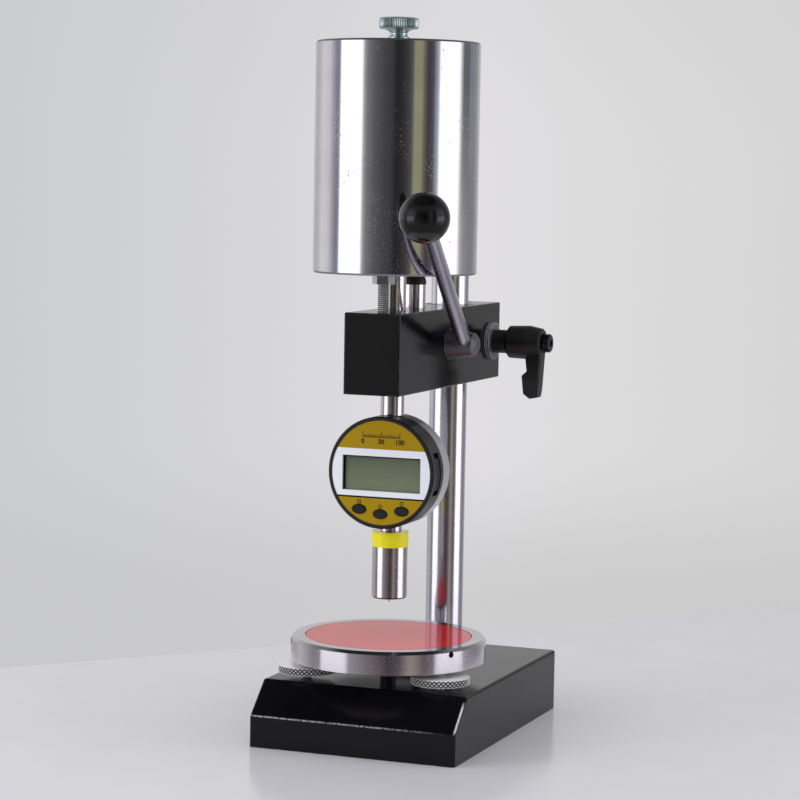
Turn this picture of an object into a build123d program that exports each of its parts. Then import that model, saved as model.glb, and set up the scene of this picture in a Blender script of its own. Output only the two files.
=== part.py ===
from build123d import *
import os
from math import acos, cos, pi, radians, sin, tan

os.makedirs("parts", exist_ok=True)

# Digital durometer on a lever-operated dead-weight stand.
# Millimetres. Origin at the centre of the base underside, +X on the side of the lever,
# +Y towards the column, +Z up. The load is at its upper stop.

# ---- fits ----
running_play = 0.03  # radial gap of a shaft in its bearing
thread_play = 0.05  # radial gap between a thread and its tapped hole
seat_play = 0.2  # radial gap of a piece laid in a recess
bolt_play = 0.3  # radial gap of a bolt in a clearance hole
face_gap = 0.1  # axial gap between faces that move on each other

# ---- base and column ----
base_width = 110.0
base_depth = 160.0
base_height = 32.0
base_edge = 1.5
slope_fold = 16.0  # height of the fold under the front slope
slope_depth = 17.0
column_diameter = 20.0
column_height = 288.0  # above the base
column_socket = 14.0
column_chamfer = 1.5
column_screw_thread = 10.0
column_screw_reach = 22.0  # into the column
column_floor = 4.0  # base metal between the column and its washer
drill_depth = 3.0  # tapped hole beyond its screw
column_washer_diameter = 20.0
column_washer_thickness = 2.0

# ---- places along the object ----
spindle_y = -30.0
throat = 82.5  # spindle axis to column axis
column_y = spindle_y + throat

# ---- levelling table ----
table_gap = 9.5  # base to the underside of the ring
ring_diameter = 100.0
ring_height = 12.0
ring_bevel = 1.5
disc_diameter = 85.0
disc_thickness = 5.0
disc_edge = 0.3
grub_thread = 3.0
grub_length = 5.0
grub_height = 2.6  # below the top of the ring
table_travel = 0.5  # each way
levelling_circle = 83.4  # diameter of the circle through the three screws
levelling_angle = -30.0  # of the first screw
levelling_sides = ("right", "rear", "left")  # evenly round the circle
levelling_thread = 5.0
levelling_floor = 0.6  # metal left above the blind threads
knurl_diameter = 30.0
knurl_thickness = 4.0
knurl_edge = 0.6
knurl_rise = 3.0  # base to the underside of the knurled disc
tip_diameter = 8.0
tip_flat = 4.0
table_screw_thread = 8.0
table_screw_bore = 17.0
table_screw_bore_depth = 20.0
disc_springs = 6
disc_spring_thickness = 0.7
disc_spring_cone = 0.4
disc_spring_pitch = 1.13
table_washer_thickness = 1.5

# ---- gauge ----
foot_gap = 19.5  # anvil to presser foot
foot_diameter = 18.0
foot_length = 34.3
foot_edge = 0.8
foot_hole = 3.0
foot_floor = 4.0
foot_bore = 12.0
foot_roof = 4.3
neck_diameter = 11.5
neck_length = 2.5  # between sleeve and case
neck_reach = 8.2  # into the case
label_height = 7.7
label_drop = 0.1  # below the top of the sleeve
label_thickness = 0.35
case_diameter = 57.0
case_front = 15.0  # face to spindle axis
case_depth = 14.5
case_wall = 3.2
case_edge = 0.6
shell_depth = 10.0
shell_wall = 2.5
shell_edge = 1.0
face_rim = 2.0  # case edge to printed face
face_thickness = 1.2
face_recess = 0.3
screen_width = 0.7404 * case_diameter
screen_height = 0.3105 * case_diameter
screen_x = 0.0035 * case_diameter
screen_z = -0.0105 * case_diameter
window_margin = 1.2
window_thickness = 1.0
panel_thickness = 2.2
board_thickness = 1.2
board_play = 0.5
key_long = 0.1351 * case_diameter
key_high = 0.0842 * case_diameter
key_shares = {"left": (-0.2018, -0.3316), "middle": (0.0, -0.3667), "right": (0.2018, -0.3316)}
key_proud = 0.8
key_play = 0.15
key_flange = 0.75
key_flange_height = 0.8
dome_diameter = 5.0
dome_height = 0.9
post_x = 0.3421 * case_diameter
post_z = 0.2421 * case_diameter
post_diameter = 4.4
back_screw_thread = 2.0
back_screw_head = 3.8
back_screw_head_height = 1.2
back_screw_length = 8.0
battery_diameter = 20.0
battery_thickness = 3.2
battery_x = -0.2316 * case_diameter
sensor_width = 9.0
sensor_height = 0.38 * case_diameter
sensor_depth = 10.0
port_width = 7.0
port_height = 21.6
port_slot = 2.7  # open notch at each end of the cover
port_depth = 1.4
port_cover_thickness = 1.0
port_centre = 7.4  # behind the face
boss_diameter = 14.0
boss_length = 12.0
boss_flat = 0.9  # below the top of the case
foot_boss_diameter = 16.0
foot_boss_flat = 1.2
socket_diameter = 8.0
socket_depth = 9.0

# ---- indenter ----
indenter_reach = 2.5  # below the presser foot
indenter_diameter = 1.25
indenter_tip_radius = 0.1
indenter_cone_angle = 30.0
plunger_diameter = 11.6
plunger_thickness = 3.0
plunger_rod = 4.0
plunger_top_gap = 3.6  # to the upper boss
indenter_wire = 1.3
indenter_coil = 9.0  # mean diameter
indenter_turns = 5

# ---- arm ----
spindle_drop = 11.7  # case to arm
arm_width = 30.0
arm_height = 41.0
arm_edge = 0.8
front_overhang = 30.0
rear_overhang = 39.5
bush_wall = 3.0
slot_width = 2.0
clamp_offset = 24.5  # column axis to clamp axis
clamp_drop = 20.5  # arm top to clamp axis
clamp_thread = 10.0
clamp_thread_end = 2.0  # short of the far face

# ---- load ----
weight_diameter = 83.0
weight_height = 116.0
weight_gap = 19.0  # arm to mass
weight_edge = 1.0
spindle_diameter = 12.0
spindle_nose = 10.0
spindle_nose_drop = 1.0  # below the top of the mass
spindle_bush_wall = 1.5
spindle_bush_length = 12.0
spindle_bore_play = 0.5
thumb_thread = 5.0
thumb_shank = 12.0
thumb_head = 20.0
thumb_head_height = 4.5
thumb_height = 11.2
thumb_neck = 10.4
thumb_collar = 12.0
thumb_collar_height = 1.4
thumb_edge = 0.6
thumb_washer_diameter = 13.0
thumb_washer_thickness = 1.0
stud_offset = 15.0  # in front of the spindle
stud_thread = 6.0
stud_seat = 10.0  # into the mass
stud_end = 6.0  # above the arm underside
nut_flats = 10.0
nut_turn = 15.0
lock_nut_height = 5.0
stop_nut_height = 3.2
stop_bore_depth = 11.5
stop_bore_diameter = 12.0

# ---- lifter with rack ----
lifter_offset = 27.9  # behind the spindle
lifter_diameter = 12.0
lifter_drop = 26.5  # length guided in the arm
lifter_floor = 1.5
cap_diameter = 12.6
cap_skirt = 6.5  # below the mass
cap_crown = 6.4  # diameter of its flat top
cap_pin = 6.0
cap_roof = 2.2
tooth_module = 1.0
pinion_teeth = 18
pressure_angle = 20.0
tooth_backlash = 0.12
rack_offset = 3.7  # pitch line behind the lifter axis
rack_spaces = range(-2, 7)
rack_flat = 20.5  # above the pinion axis

# ---- lever ----
pivot_drop = 18.3  # arm top to lever axis
shaft_diameter = 10.0
journal_diameter = 8.0
pinion_width = 10.0
pinion_side = 0.6  # axial room of the pinion
pinion_room = 0.5  # radial room of the pinion
key_square = 3.0
key_length = 8.0
key_sink = 1.8
shaft_bush_wall = 2.0
hub_gap = 0.4
hub_diameter = 16.6
hub_shoulder_diameter = 12.0
hub_shoulder = 13.8
hub_length = 16.1
hub_end_diameter = 7.6
rod_hub = 9.0  # arm face to the crossing with the rod
rod_seat = 4.0
rod_diameter = 7.5
rod_pin = 6.0
rod_pin_length = 9.0
lever_length = 155.0
lever_elevation = 26.2
lever_splay = 10.3
ball_diameter = 24.0
ball_flat = 11.0  # centre to flat

# ---- return spring ----
spring_bore = 30.0
spring_room = 6.6  # inner end of the spring bore from the middle plane
strip_thickness = 0.6
strip_width = 3.4
strip_side = 0.3  # axial room beside the strip
spring_turns = 4
cover_thickness = 2.5
ring_wire = 1.2
ring_groove = 0.7
ring_sink = 0.5  # below the side of the arm
ring_band = 2.4
ring_gap = 9.0

# ---- clamp handle ----
clamp_washer_diameter = 20.0
clamp_washer_thickness = 1.15
handle_neck = 12.6
handle_hub = 17.4
handle_neck_length = 7.1
handle_cone_length = 2.0
handle_length = 27.6
handle_shoulder = 20.0
handle_shoulder_diameter = 18.2
handle_end_diameter = 15.6
handle_edge = 0.8
serration_teeth = 12
serration_length = 3.6
serration_start = 12.5
serration_depth = 0.6
serration_play = 0.15
handle_wall = 2.0
handle_chamber = 10.5
handle_chamber_depth = 6.0
handle_thickness = 9.0
handle_thin_start = 20.6  # below the clamp axis
handle_reach = 31.0  # below the clamp axis, tip included
handle_tip_thickness = 6.0
handle_screw_head = 9.9
handle_screw_head_height = 3.4
handle_screw_thread = 5.0
handle_screw_rise = 0.9
handle_wire = 0.9
handle_coil = 8.2
handle_turns = 3
# outline of the handle's arm: from the end face, from the clamp axis
handle_outline = (
    (-10.0, 2.0),
    (-8.0, -15.4),
    (-10.8, -18.0),
    (-9.7, -27.7),
    (-6.3, -30.3),
    (-1.8, -29.4),
    (-1.2, -24.8),
    (0.0, -6.0),
    (0.0, 2.0),
)

# ---- places worked out from the sizes above ----
ring_bottom = base_height + table_gap
anvil_top = ring_bottom + ring_height
disc_bottom = anvil_top - disc_thickness
foot_bottom = anvil_top + foot_gap
sleeve_top = foot_bottom + foot_length
gauge_z = sleeve_top + neck_length + case_diameter / 2
gauge_front = spindle_y - case_front
arm_bottom = gauge_z + case_diameter / 2 + spindle_drop
arm_top = arm_bottom + arm_height
arm_front = spindle_y - front_overhang
arm_rear = column_y + rear_overhang
arm_side = arm_width / 2
weight_bottom = arm_top + weight_gap
weight_top = weight_bottom + weight_height
stud_y = spindle_y - stud_offset
lifter_y = spindle_y + lifter_offset
pitch_radius = tooth_module * pinion_teeth / 2
pivot_y = lifter_y + rack_offset + pitch_radius
pivot_z = arm_top - pivot_drop
clamp_y = column_y + clamp_offset
clamp_z = arm_top - clamp_drop
bush_radius = column_diameter / 2 + running_play + bush_wall
tooth_pitch = pi * tooth_module


def section_at(y, z=0.0):
    """Plane through the middle of the object's width: local x is X, local y is Z."""
    return Plane(origin=(0, y, z), x_dir=(1, 0, 0), z_dir=(0, -1, 0))


def side_at(x, y, z):
    """Plane square to X: local x is Y, local y is Z."""
    return Plane(origin=(x, y, z), x_dir=(0, 1, 0), z_dir=(1, 0, 0))


def level_at(z, y=0.0):
    """Plane square to Z on the middle of the object's width."""
    return Plane(origin=(0, y, z))


# ==== base ====
with BuildPart() as base_plate:
    with BuildSketch(side_at(-base_width / 2, 0, 0)):
        with BuildLine():
            Polyline(
                (-base_depth / 2, 0),
                (base_depth / 2, 0),
                (base_depth / 2, base_height),
                (-base_depth / 2 + slope_depth, base_height),
                (-base_depth / 2, slope_fold),
                close=True,
            )
        make_face()
    extrude(amount=base_width)
    floor_edges = base_plate.faces().sort_by(Axis.Z)[0].edges()
    fold_edge = base_plate.edges().filter_by(Axis.X).sort_by(Axis.Y)[0:2].sort_by(Axis.Z)[-1]
    fillet([e for e in base_plate.edges() if e not in floor_edges and e != fold_edge], base_edge)
    # column seat with its screw bore from below
    with BuildSketch(level_at(base_height, column_y)):
        Circle(column_diameter / 2 + thread_play)
    extrude(amount=-column_socket, mode=Mode.SUBTRACT)
    with BuildSketch(level_at(0, column_y)):
        Circle(column_screw_thread / 2 + bolt_play)
    extrude(amount=base_height, mode=Mode.SUBTRACT)
    with BuildSketch(level_at(0, column_y)):
        Circle(column_washer_diameter / 2 + bolt_play)
    extrude(amount=base_height - column_socket - column_floor, mode=Mode.SUBTRACT)
    # bore of the screw that holds the table down
    with BuildSketch(level_at(0, spindle_y)):
        Circle(table_screw_thread / 2 + bolt_play)
    extrude(amount=base_height, mode=Mode.SUBTRACT)
    with BuildSketch(level_at(0, spindle_y)):
        Circle(table_screw_bore / 2)
    extrude(amount=table_screw_bore_depth, mode=Mode.SUBTRACT)
base_plate.part.label = "base_plate"
export_step(base_plate.part, "parts/base_plate.step")

with BuildPart() as column:
    with BuildSketch(level_at(base_height - column_socket, column_y)):
        Circle(column_diameter / 2)
    extrude(amount=column_socket + column_height)
    chamfer(column.edges().group_by(Axis.Z)[-1], column_chamfer)
    with BuildSketch(level_at(base_height - column_socket, column_y)):
        Circle(column_screw_thread / 2 + thread_play)
    extrude(amount=column_screw_reach + drill_depth, mode=Mode.SUBTRACT)
column.part.label = "column"
export_step(column.part, "parts/column.step")

column_bore_top = base_height - column_socket - column_floor
with BuildPart() as column_washer:
    with BuildSketch(level_at(column_bore_top, column_y)):
        Circle(column_washer_diameter / 2)
        Circle(column_screw_thread / 2 + bolt_play, mode=Mode.SUBTRACT)
    extrude(amount=-column_washer_thickness)
column_washer.part.label = "column_washer"
export_step(column_washer.part, "parts/column_washer.step")


def socket_screw(thread, seat, reach, y):
    """Upright socket head screw: its head hangs below the seat height, its thread reaches up."""
    head_radius = 0.8 * thread
    with BuildPart() as screw:
        with BuildSketch(level_at(seat, y)):
            Circle(head_radius)
        extrude(amount=-thread)
        chamfer(screw.edges().group_by(Axis.Z)[0], 0.08 * thread)
        with BuildSketch(level_at(seat, y)):
            Circle(thread / 2)
        extrude(amount=reach)
        chamfer(screw.edges().group_by(Axis.Z)[-1], 0.1 * thread)
        with BuildSketch(level_at(seat - thread, y)):
            RegularPolygon(0.4 * thread, 6, major_radius=False)
        extrude(amount=0.5 * thread, mode=Mode.SUBTRACT)
    return screw


column_seat = column_bore_top - column_washer_thickness
column_screw = socket_screw(
    column_screw_thread,
    column_seat,
    base_height - column_socket + column_screw_reach - column_seat,
    column_y,
)
column_screw.part.label = "column_screw"
export_step(column_screw.part, "parts/column_screw.step")

# ==== levelling table ====
levelling_angles = {
    side: levelling_angle + 360 * number / len(levelling_sides) for number, side in enumerate(levelling_sides)
}
table_washer_bottom = table_screw_bore_depth - disc_springs * disc_spring_pitch - table_washer_thickness
levelling_depth = ring_height - disc_thickness - levelling_floor
with BuildPart() as anvil_ring:
    with BuildSketch(level_at(ring_bottom, spindle_y)):
        Circle(ring_diameter / 2)
    extrude(amount=ring_height)
    chamfer(anvil_ring.edges().group_by(Axis.Z)[-1], ring_bevel)
    chamfer(anvil_ring.edges().group_by(Axis.Z)[0], disc_edge)
    with BuildSketch(level_at(anvil_top, spindle_y)):
        Circle(disc_diameter / 2 + seat_play)
    extrude(amount=-disc_thickness, mode=Mode.SUBTRACT)
    with BuildSketch(level_at(ring_bottom, spindle_y)):
        for angle in levelling_angles.values():
            with Locations(Vector(levelling_circle / 2, 0, 0).rotate(Axis.Z, angle)):
                Circle(levelling_thread / 2 + thread_play)
    extrude(amount=levelling_depth, mode=Mode.SUBTRACT)
    with BuildSketch(level_at(ring_bottom, spindle_y)):
        Circle(table_screw_thread / 2 + thread_play)
    extrude(amount=levelling_depth, mode=Mode.SUBTRACT)
    for angle in levelling_angles.values():
        outward = Vector(1, 0, 0).rotate(Axis.Z, angle)
        middle = Vector(0, spindle_y, anvil_top - grub_height)
        with BuildSketch(Plane(origin=middle, z_dir=outward)):
            Circle(grub_thread / 2 + thread_play)
        extrude(amount=ring_diameter, mode=Mode.SUBTRACT)
anvil_ring.part.label = "anvil_ring"
export_step(anvil_ring.part, "parts/anvil_ring.step")

with BuildPart() as anvil_disc:
    with BuildSketch(level_at(disc_bottom, spindle_y)):
        Circle(disc_diameter / 2)
    extrude(amount=disc_thickness)
    chamfer(anvil_disc.edges().group_by(Axis.Z)[-1], disc_edge)
anvil_disc.part.label = "anvil_disc"
export_step(anvil_disc.part, "parts/anvil_disc.step")

with BuildPart() as disc_grub_screws:
    for angle in levelling_angles.values():
        outward = Vector(1, 0, 0).rotate(Axis.Z, angle)
        nose = Vector(0, spindle_y, anvil_top - grub_height) + outward * (disc_diameter / 2 + face_gap)
        with BuildSketch(Plane(origin=nose, z_dir=outward)):
            Circle(grub_thread / 2)
        extrude(amount=grub_length)
        with BuildSketch(Plane(origin=nose + outward * grub_length, z_dir=outward)):
            RegularPolygon(grub_thread / 4, 6, major_radius=False)
        extrude(amount=-grub_length / 3, mode=Mode.SUBTRACT)
disc_grub_screws.part.label = "disc_grub_screws"
export_step(disc_grub_screws.part, "parts/disc_grub_screws.step")

tip_radius = tip_diameter / 2
knurl_bottom = base_height + knurl_rise
for side, angle in levelling_angles.items():
    place = Vector(levelling_circle / 2, 0, 0).rotate(Axis.Z, angle) + Vector(0, spindle_y, 0)
    with BuildPart() as levelling_screw:
        with BuildSketch(Plane(origin=place, x_dir=(1, 0, 0), z_dir=(0, -1, 0))):
            with BuildLine():
                Polyline(
                    (0, base_height),
                    (tip_flat / 2, base_height),
                    (tip_radius, base_height + tip_radius - tip_flat / 2),
                    (tip_radius, knurl_bottom),
                    (knurl_diameter / 2 - knurl_edge, knurl_bottom),
                    (knurl_diameter / 2, knurl_bottom + knurl_edge),
                    (knurl_diameter / 2, knurl_bottom + knurl_thickness - knurl_edge),
                    (knurl_diameter / 2 - knurl_edge, knurl_bottom + knurl_thickness),
                    (levelling_thread / 2, knurl_bottom + knurl_thickness),
                    (levelling_thread / 2, ring_bottom + levelling_depth - table_travel - levelling_floor),
                    (0, ring_bottom + levelling_depth - table_travel - levelling_floor),
                    close=True,
                )
            make_face()
        revolve(axis=Axis(place, (0, 0, 1)))
    levelling_screw.part.label = f"levelling_screw_{side}"
    export_step(levelling_screw.part, f"parts/levelling_screw_{side}.step")

table_screw = socket_screw(
    table_screw_thread,
    table_washer_bottom,
    disc_bottom - 2 * levelling_floor - table_washer_bottom,
    spindle_y,
)
table_screw.part.label = "table_screw"
export_step(table_screw.part, "parts/table_screw.step")

with BuildPart() as table_washer:
    with BuildSketch(level_at(table_washer_bottom, spindle_y)):
        Circle(table_screw_bore / 2 - bolt_play)
        Circle(table_screw_thread / 2 + bolt_play, mode=Mode.SUBTRACT)
    extrude(amount=table_washer_thickness)
table_washer.part.label = "table_washer"
export_step(table_washer.part, "parts/table_washer.step")

with BuildPart() as table_springs:
    for number in range(disc_springs):
        low = table_washer_bottom + table_washer_thickness + number * disc_spring_pitch
        inner_rise = disc_spring_cone * (number % 2)
        outer_rise = disc_spring_cone - inner_rise
        with BuildSketch(section_at(spindle_y, low)):
            with BuildLine():
                Polyline(
                    (table_screw_thread / 2 + bolt_play, inner_rise),
                    (table_screw_bore / 2 - bolt_play, outer_rise),
                    (table_screw_bore / 2 - bolt_play, outer_rise + disc_spring_thickness),
                    (table_screw_thread / 2 + bolt_play, inner_rise + disc_spring_thickness),
                    close=True,
                )
            make_face()
        revolve(axis=Axis((0, spindle_y, 0), (0, 0, 1)))
table_springs.part.label = "table_springs"
export_step(table_springs.part, "parts/table_springs.step")

# ==== arm ====
with BuildPart() as column_bush:
    with BuildSketch(level_at(arm_bottom, column_y)):
        Circle(bush_radius)
        Circle(column_diameter / 2 + running_play, mode=Mode.SUBTRACT)
        with Locations((0, bush_radius)):
            Rectangle(slot_width, 4 * bush_wall, mode=Mode.SUBTRACT)
    extrude(amount=arm_height)
column_bush.part.label = "column_bush"
export_step(column_bush.part, "parts/column_bush.step")

bush_bore_radius = spindle_diameter / 2 + running_play + spindle_bush_wall
shaft_bush_radius = shaft_diameter / 2 + running_play + shaft_bush_wall
pinion_tip_radius = pitch_radius + tooth_module
groove_end = arm_side - ring_sink
cover_outer = groove_end - ring_wire - face_gap
with BuildPart() as arm_block:
    with BuildSketch(level_at(arm_bottom)):
        with Locations((0, (arm_front + arm_rear) / 2)):
            Rectangle(arm_width, arm_rear - arm_front)
    extrude(amount=arm_height)
    fillet(arm_block.edges(), arm_edge)
    # column bore and clamping slot
    with BuildSketch(level_at(arm_bottom, column_y)):
        Circle(bush_radius + running_play)
        with Locations((0, rear_overhang / 2)):
            Rectangle(slot_width, rear_overhang)
    extrude(amount=arm_height, mode=Mode.SUBTRACT)
    # spindle bore, wider at both ends for its bushes
    with BuildSketch(level_at(arm_bottom, spindle_y)):
        Circle(spindle_diameter / 2 + spindle_bore_play)
    extrude(amount=arm_height, mode=Mode.SUBTRACT)
    with BuildSketch(level_at(arm_bottom, spindle_y), level_at(arm_top - spindle_bush_length, spindle_y)):
        Circle(bush_bore_radius)
    extrude(amount=spindle_bush_length, mode=Mode.SUBTRACT)
    # guide of the stud, with room for its stop nut below
    with BuildSketch(level_at(arm_bottom, stud_y)):
        Circle(stud_thread / 2 + bolt_play)
    extrude(amount=arm_height, mode=Mode.SUBTRACT)
    with BuildSketch(level_at(arm_bottom, stud_y)):
        Circle(stop_bore_diameter / 2)
    extrude(amount=stop_bore_depth, mode=Mode.SUBTRACT)
    # blind bore of the lifter
    with BuildSketch(level_at(arm_bottom + lifter_floor, lifter_y)):
        Circle(lifter_diameter / 2 + running_play)
    extrude(amount=arm_height, mode=Mode.SUBTRACT)
    # cross bores of the lever shaft: bush, pinion, return spring and ring groove
    with BuildSketch(side_at(-arm_side, pivot_y, pivot_z)):
        Circle(spring_bore / 2)
    extrude(amount=arm_side - spring_room, mode=Mode.SUBTRACT)
    with BuildSketch(side_at(-spring_room, pivot_y, pivot_z)):
        Circle(pinion_tip_radius + pinion_room)
    extrude(amount=spring_room + pinion_width / 2 + pinion_side, mode=Mode.SUBTRACT)
    with BuildSketch(side_at(0, pivot_y, pivot_z)):
        Circle(shaft_bush_radius)
    extrude(amount=arm_width, mode=Mode.SUBTRACT)
    with BuildSketch(side_at(-groove_end, pivot_y, pivot_z)):
        Circle(spring_bore / 2 + ring_groove)
    extrude(amount=ring_wire, mode=Mode.SUBTRACT)
    # clamp screw: tapped on one side of the slot, free on the other
    with BuildSketch(side_at(0, clamp_y, clamp_z)):
        Circle(clamp_thread / 2 + bolt_play)
    extrude(amount=arm_width, mode=Mode.SUBTRACT)
    with BuildSketch(side_at(0, clamp_y, clamp_z)):
        Circle(clamp_thread / 2 + thread_play)
    extrude(amount=-arm_width, mode=Mode.SUBTRACT)
arm_block.part.label = "arm_block"
export_step(arm_block.part, "parts/arm_block.step")

for place, low in {"lower": arm_bottom, "upper": arm_top - spindle_bush_length}.items():
    with BuildPart() as spindle_bush:
        with BuildSketch(level_at(low, spindle_y)):
            Circle(bush_bore_radius)
            Circle(spindle_diameter / 2 + running_play, mode=Mode.SUBTRACT)
        extrude(amount=spindle_bush_length)
    spindle_bush.part.label = f"spindle_bush_{place}"
    export_step(spindle_bush.part, f"parts/spindle_bush_{place}.step")

with BuildPart() as shaft_bush:
    with BuildSketch(side_at(pinion_width / 2 + pinion_side, pivot_y, pivot_z)):
        Circle(shaft_bush_radius)
        Circle(shaft_diameter / 2 + running_play, mode=Mode.SUBTRACT)
    extrude(amount=arm_side - pinion_width / 2 - pinion_side)
shaft_bush.part.label = "shaft_bush"
export_step(shaft_bush.part, "parts/shaft_bush.step")

with BuildPart() as spring_cover:
    with BuildSketch(side_at(-cover_outer, pivot_y, pivot_z)):
        Circle(spring_bore / 2)
        Circle(journal_diameter / 2 + running_play, mode=Mode.SUBTRACT)
    extrude(amount=cover_thickness)
spring_cover.part.label = "spring_cover"
export_step(spring_cover.part, "parts/spring_cover.step")

with BuildPart() as cover_ring:
    with BuildSketch(side_at(-groove_end, pivot_y, pivot_z)):
        Circle(spring_bore / 2 + ring_groove)
        Circle(spring_bore / 2 + ring_groove - ring_band, mode=Mode.SUBTRACT)
        with Locations((0, spring_bore / 2)):
            Rectangle(ring_gap, 3 * ring_band, mode=Mode.SUBTRACT)
    extrude(amount=ring_wire)
cover_ring.part.label = "cover_ring"
export_step(cover_ring.part, "parts/cover_ring.step")

# spiral strip from the shaft to the wall of its bore, in half turns of growing radius
strip_inner = shaft_diameter / 2 + strip_thickness / 2 + face_gap
strip_outer = spring_bore / 2 - strip_thickness / 2 - face_gap
strip_step = (strip_outer - strip_inner) / (2 * spring_turns)
with BuildPart() as return_spring:
    with BuildSketch(side_at(strip_side - cover_outer + cover_thickness, pivot_y, pivot_z)):
        for half_turn in range(2 * spring_turns):
            side = 1 if half_turn % 2 == 0 else -1
            radius = strip_inner + strip_step * (half_turn + 0.5)
            with Locations((-side * strip_step / 2, 0)):
                with BuildSketch(mode=Mode.PRIVATE) as half_ring:
                    Circle(radius + strip_thickness / 2)
                    Circle(radius - strip_thickness / 2, mode=Mode.SUBTRACT)
                    with Locations((0, side * radius)):
                        Rectangle(3 * radius, 2 * radius, mode=Mode.INTERSECT)
                add(half_ring.sketch)
    extrude(amount=strip_width)
return_spring.part.label = "return_spring"
export_step(return_spring.part, "parts/return_spring.step")

# ==== lifter ====
cap_bottom = weight_bottom - cap_skirt
pin_top = weight_bottom - face_gap - cap_roof
lifter_bottom = arm_top - lifter_drop
pitch_line = lifter_y + rack_offset
flank = tan(radians(pressure_angle))
gap_tip = tooth_pitch / 4 + tooth_module * flank + tooth_backlash / 2
gap_root = tooth_pitch / 4 - 1.25 * tooth_module * flank + tooth_backlash / 2
with BuildPart() as lifter:
    with BuildSketch(level_at(lifter_bottom, lifter_y)):
        Circle(lifter_diameter / 2)
    extrude(amount=cap_bottom - lifter_bottom)
    chamfer(lifter.edges().group_by(Axis.Z)[0], arm_edge)
    with BuildSketch(level_at(cap_bottom, lifter_y)):
        Circle(cap_pin / 2)
    extrude(amount=pin_top - cap_bottom)
    # flat and tooth spaces of the rack
    with BuildSketch(side_at(-lifter_diameter, pitch_line, pivot_z)):
        with Locations((tooth_module, rack_flat)):
            Rectangle(lifter_diameter, lifter_drop + rack_flat, align=(Align.MIN, Align.MAX))
        for space in rack_spaces:
            middle = space * tooth_pitch
            Polygon(
                (tooth_module, middle - gap_tip),
                (tooth_module, middle + gap_tip),
                (-1.25 * tooth_module, middle + gap_root),
                (-1.25 * tooth_module, middle - gap_root),
                align=None,
            )
    extrude(amount=2 * lifter_diameter, mode=Mode.SUBTRACT)
lifter.part.label = "lifter"
export_step(lifter.part, "parts/lifter.step")

with BuildPart() as lifter_cap:
    with BuildSketch(section_at(lifter_y)):
        with BuildLine():
            shoulder = (cap_diameter / 2, weight_bottom - cap_skirt / 2 - cap_roof)
            crown = (cap_crown / 2, weight_bottom - face_gap)
            Polyline(
                crown,
                (0, weight_bottom - face_gap),
                (0, pin_top),
                (cap_pin / 2, pin_top),
                (cap_pin / 2, cap_bottom),
                (cap_diameter / 2, cap_bottom),
                shoulder,
            )
            RadiusArc(shoulder, crown, -cap_diameter / 2)
        make_face()
    revolve(axis=Axis((0, lifter_y, 0), (0, 0, 1)))
lifter_cap.part.label = "lifter_cap"
export_step(lifter_cap.part, "parts/lifter_cap.step")

# ==== lever ====
hub_start = arm_side + hub_gap
rod_x = arm_side + rod_hub
splay = radians(lever_splay)
rise = radians(lever_elevation)
rod_direction = Vector(sin(splay), -cos(splay) * cos(rise), cos(splay) * sin(rise))
rod_root = Vector(rod_x, pivot_y, pivot_z)


def across_rod(distance):
    """Plane square to the lever rod at a distance from the shaft axis."""
    return Plane(origin=rod_root + rod_direction * distance, z_dir=rod_direction)


with BuildPart() as lever_shaft:
    with BuildSketch(section_at(pivot_y, pivot_z)):
        with BuildLine():
            Polyline(
                (-cover_outer, 0),
                (-cover_outer, journal_diameter / 2),
                (-cover_outer + cover_thickness + face_gap, journal_diameter / 2),
                (-cover_outer + cover_thickness + face_gap, shaft_diameter / 2),
                (hub_start, shaft_diameter / 2),
                (hub_start, hub_diameter / 2),
                (hub_start + hub_shoulder, hub_shoulder_diameter / 2),
                (arm_side + hub_length, hub_end_diameter / 2),
                (arm_side + hub_length, 0),
                close=True,
            )
        make_face()
    revolve(axis=Axis((0, pivot_y, pivot_z), (1, 0, 0)))
    with BuildSketch(across_rod(rod_seat)):
        Circle(rod_diameter / 2 + thread_play)
    extrude(amount=hub_diameter, mode=Mode.SUBTRACT)
    with BuildSketch(side_at(-key_length / 2, pivot_y, pivot_z + shaft_diameter / 2)):
        Rectangle(key_square, 2 * key_sink)
    extrude(amount=key_length, mode=Mode.SUBTRACT)
lever_shaft.part.label = "lever_shaft"
export_step(lever_shaft.part, "parts/lever_shaft.step")

key_bottom = pivot_z + shaft_diameter / 2 - key_sink
with BuildPart() as pinion_key:
    with BuildSketch(side_at(-key_length / 2, pivot_y, key_bottom)):
        Rectangle(key_square, key_square, align=(Align.CENTER, Align.MIN))
    extrude(amount=key_length)
pinion_key.part.label = "pinion_key"
export_step(pinion_key.part, "parts/pinion_key.step")

base_radius = pitch_radius * cos(radians(pressure_angle))
root_radius = pitch_radius - 1.25 * tooth_module


def involute(angle):
    return tan(angle) - angle


def tooth_half_angle(radius):
    """Half the angle that one pinion tooth spans at a radius on its involute."""
    at_pitch = (tooth_pitch - tooth_backlash) / (4 * pitch_radius)
    return at_pitch + involute(radians(pressure_angle)) - involute(acos(min(1.0, base_radius / radius)))


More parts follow.
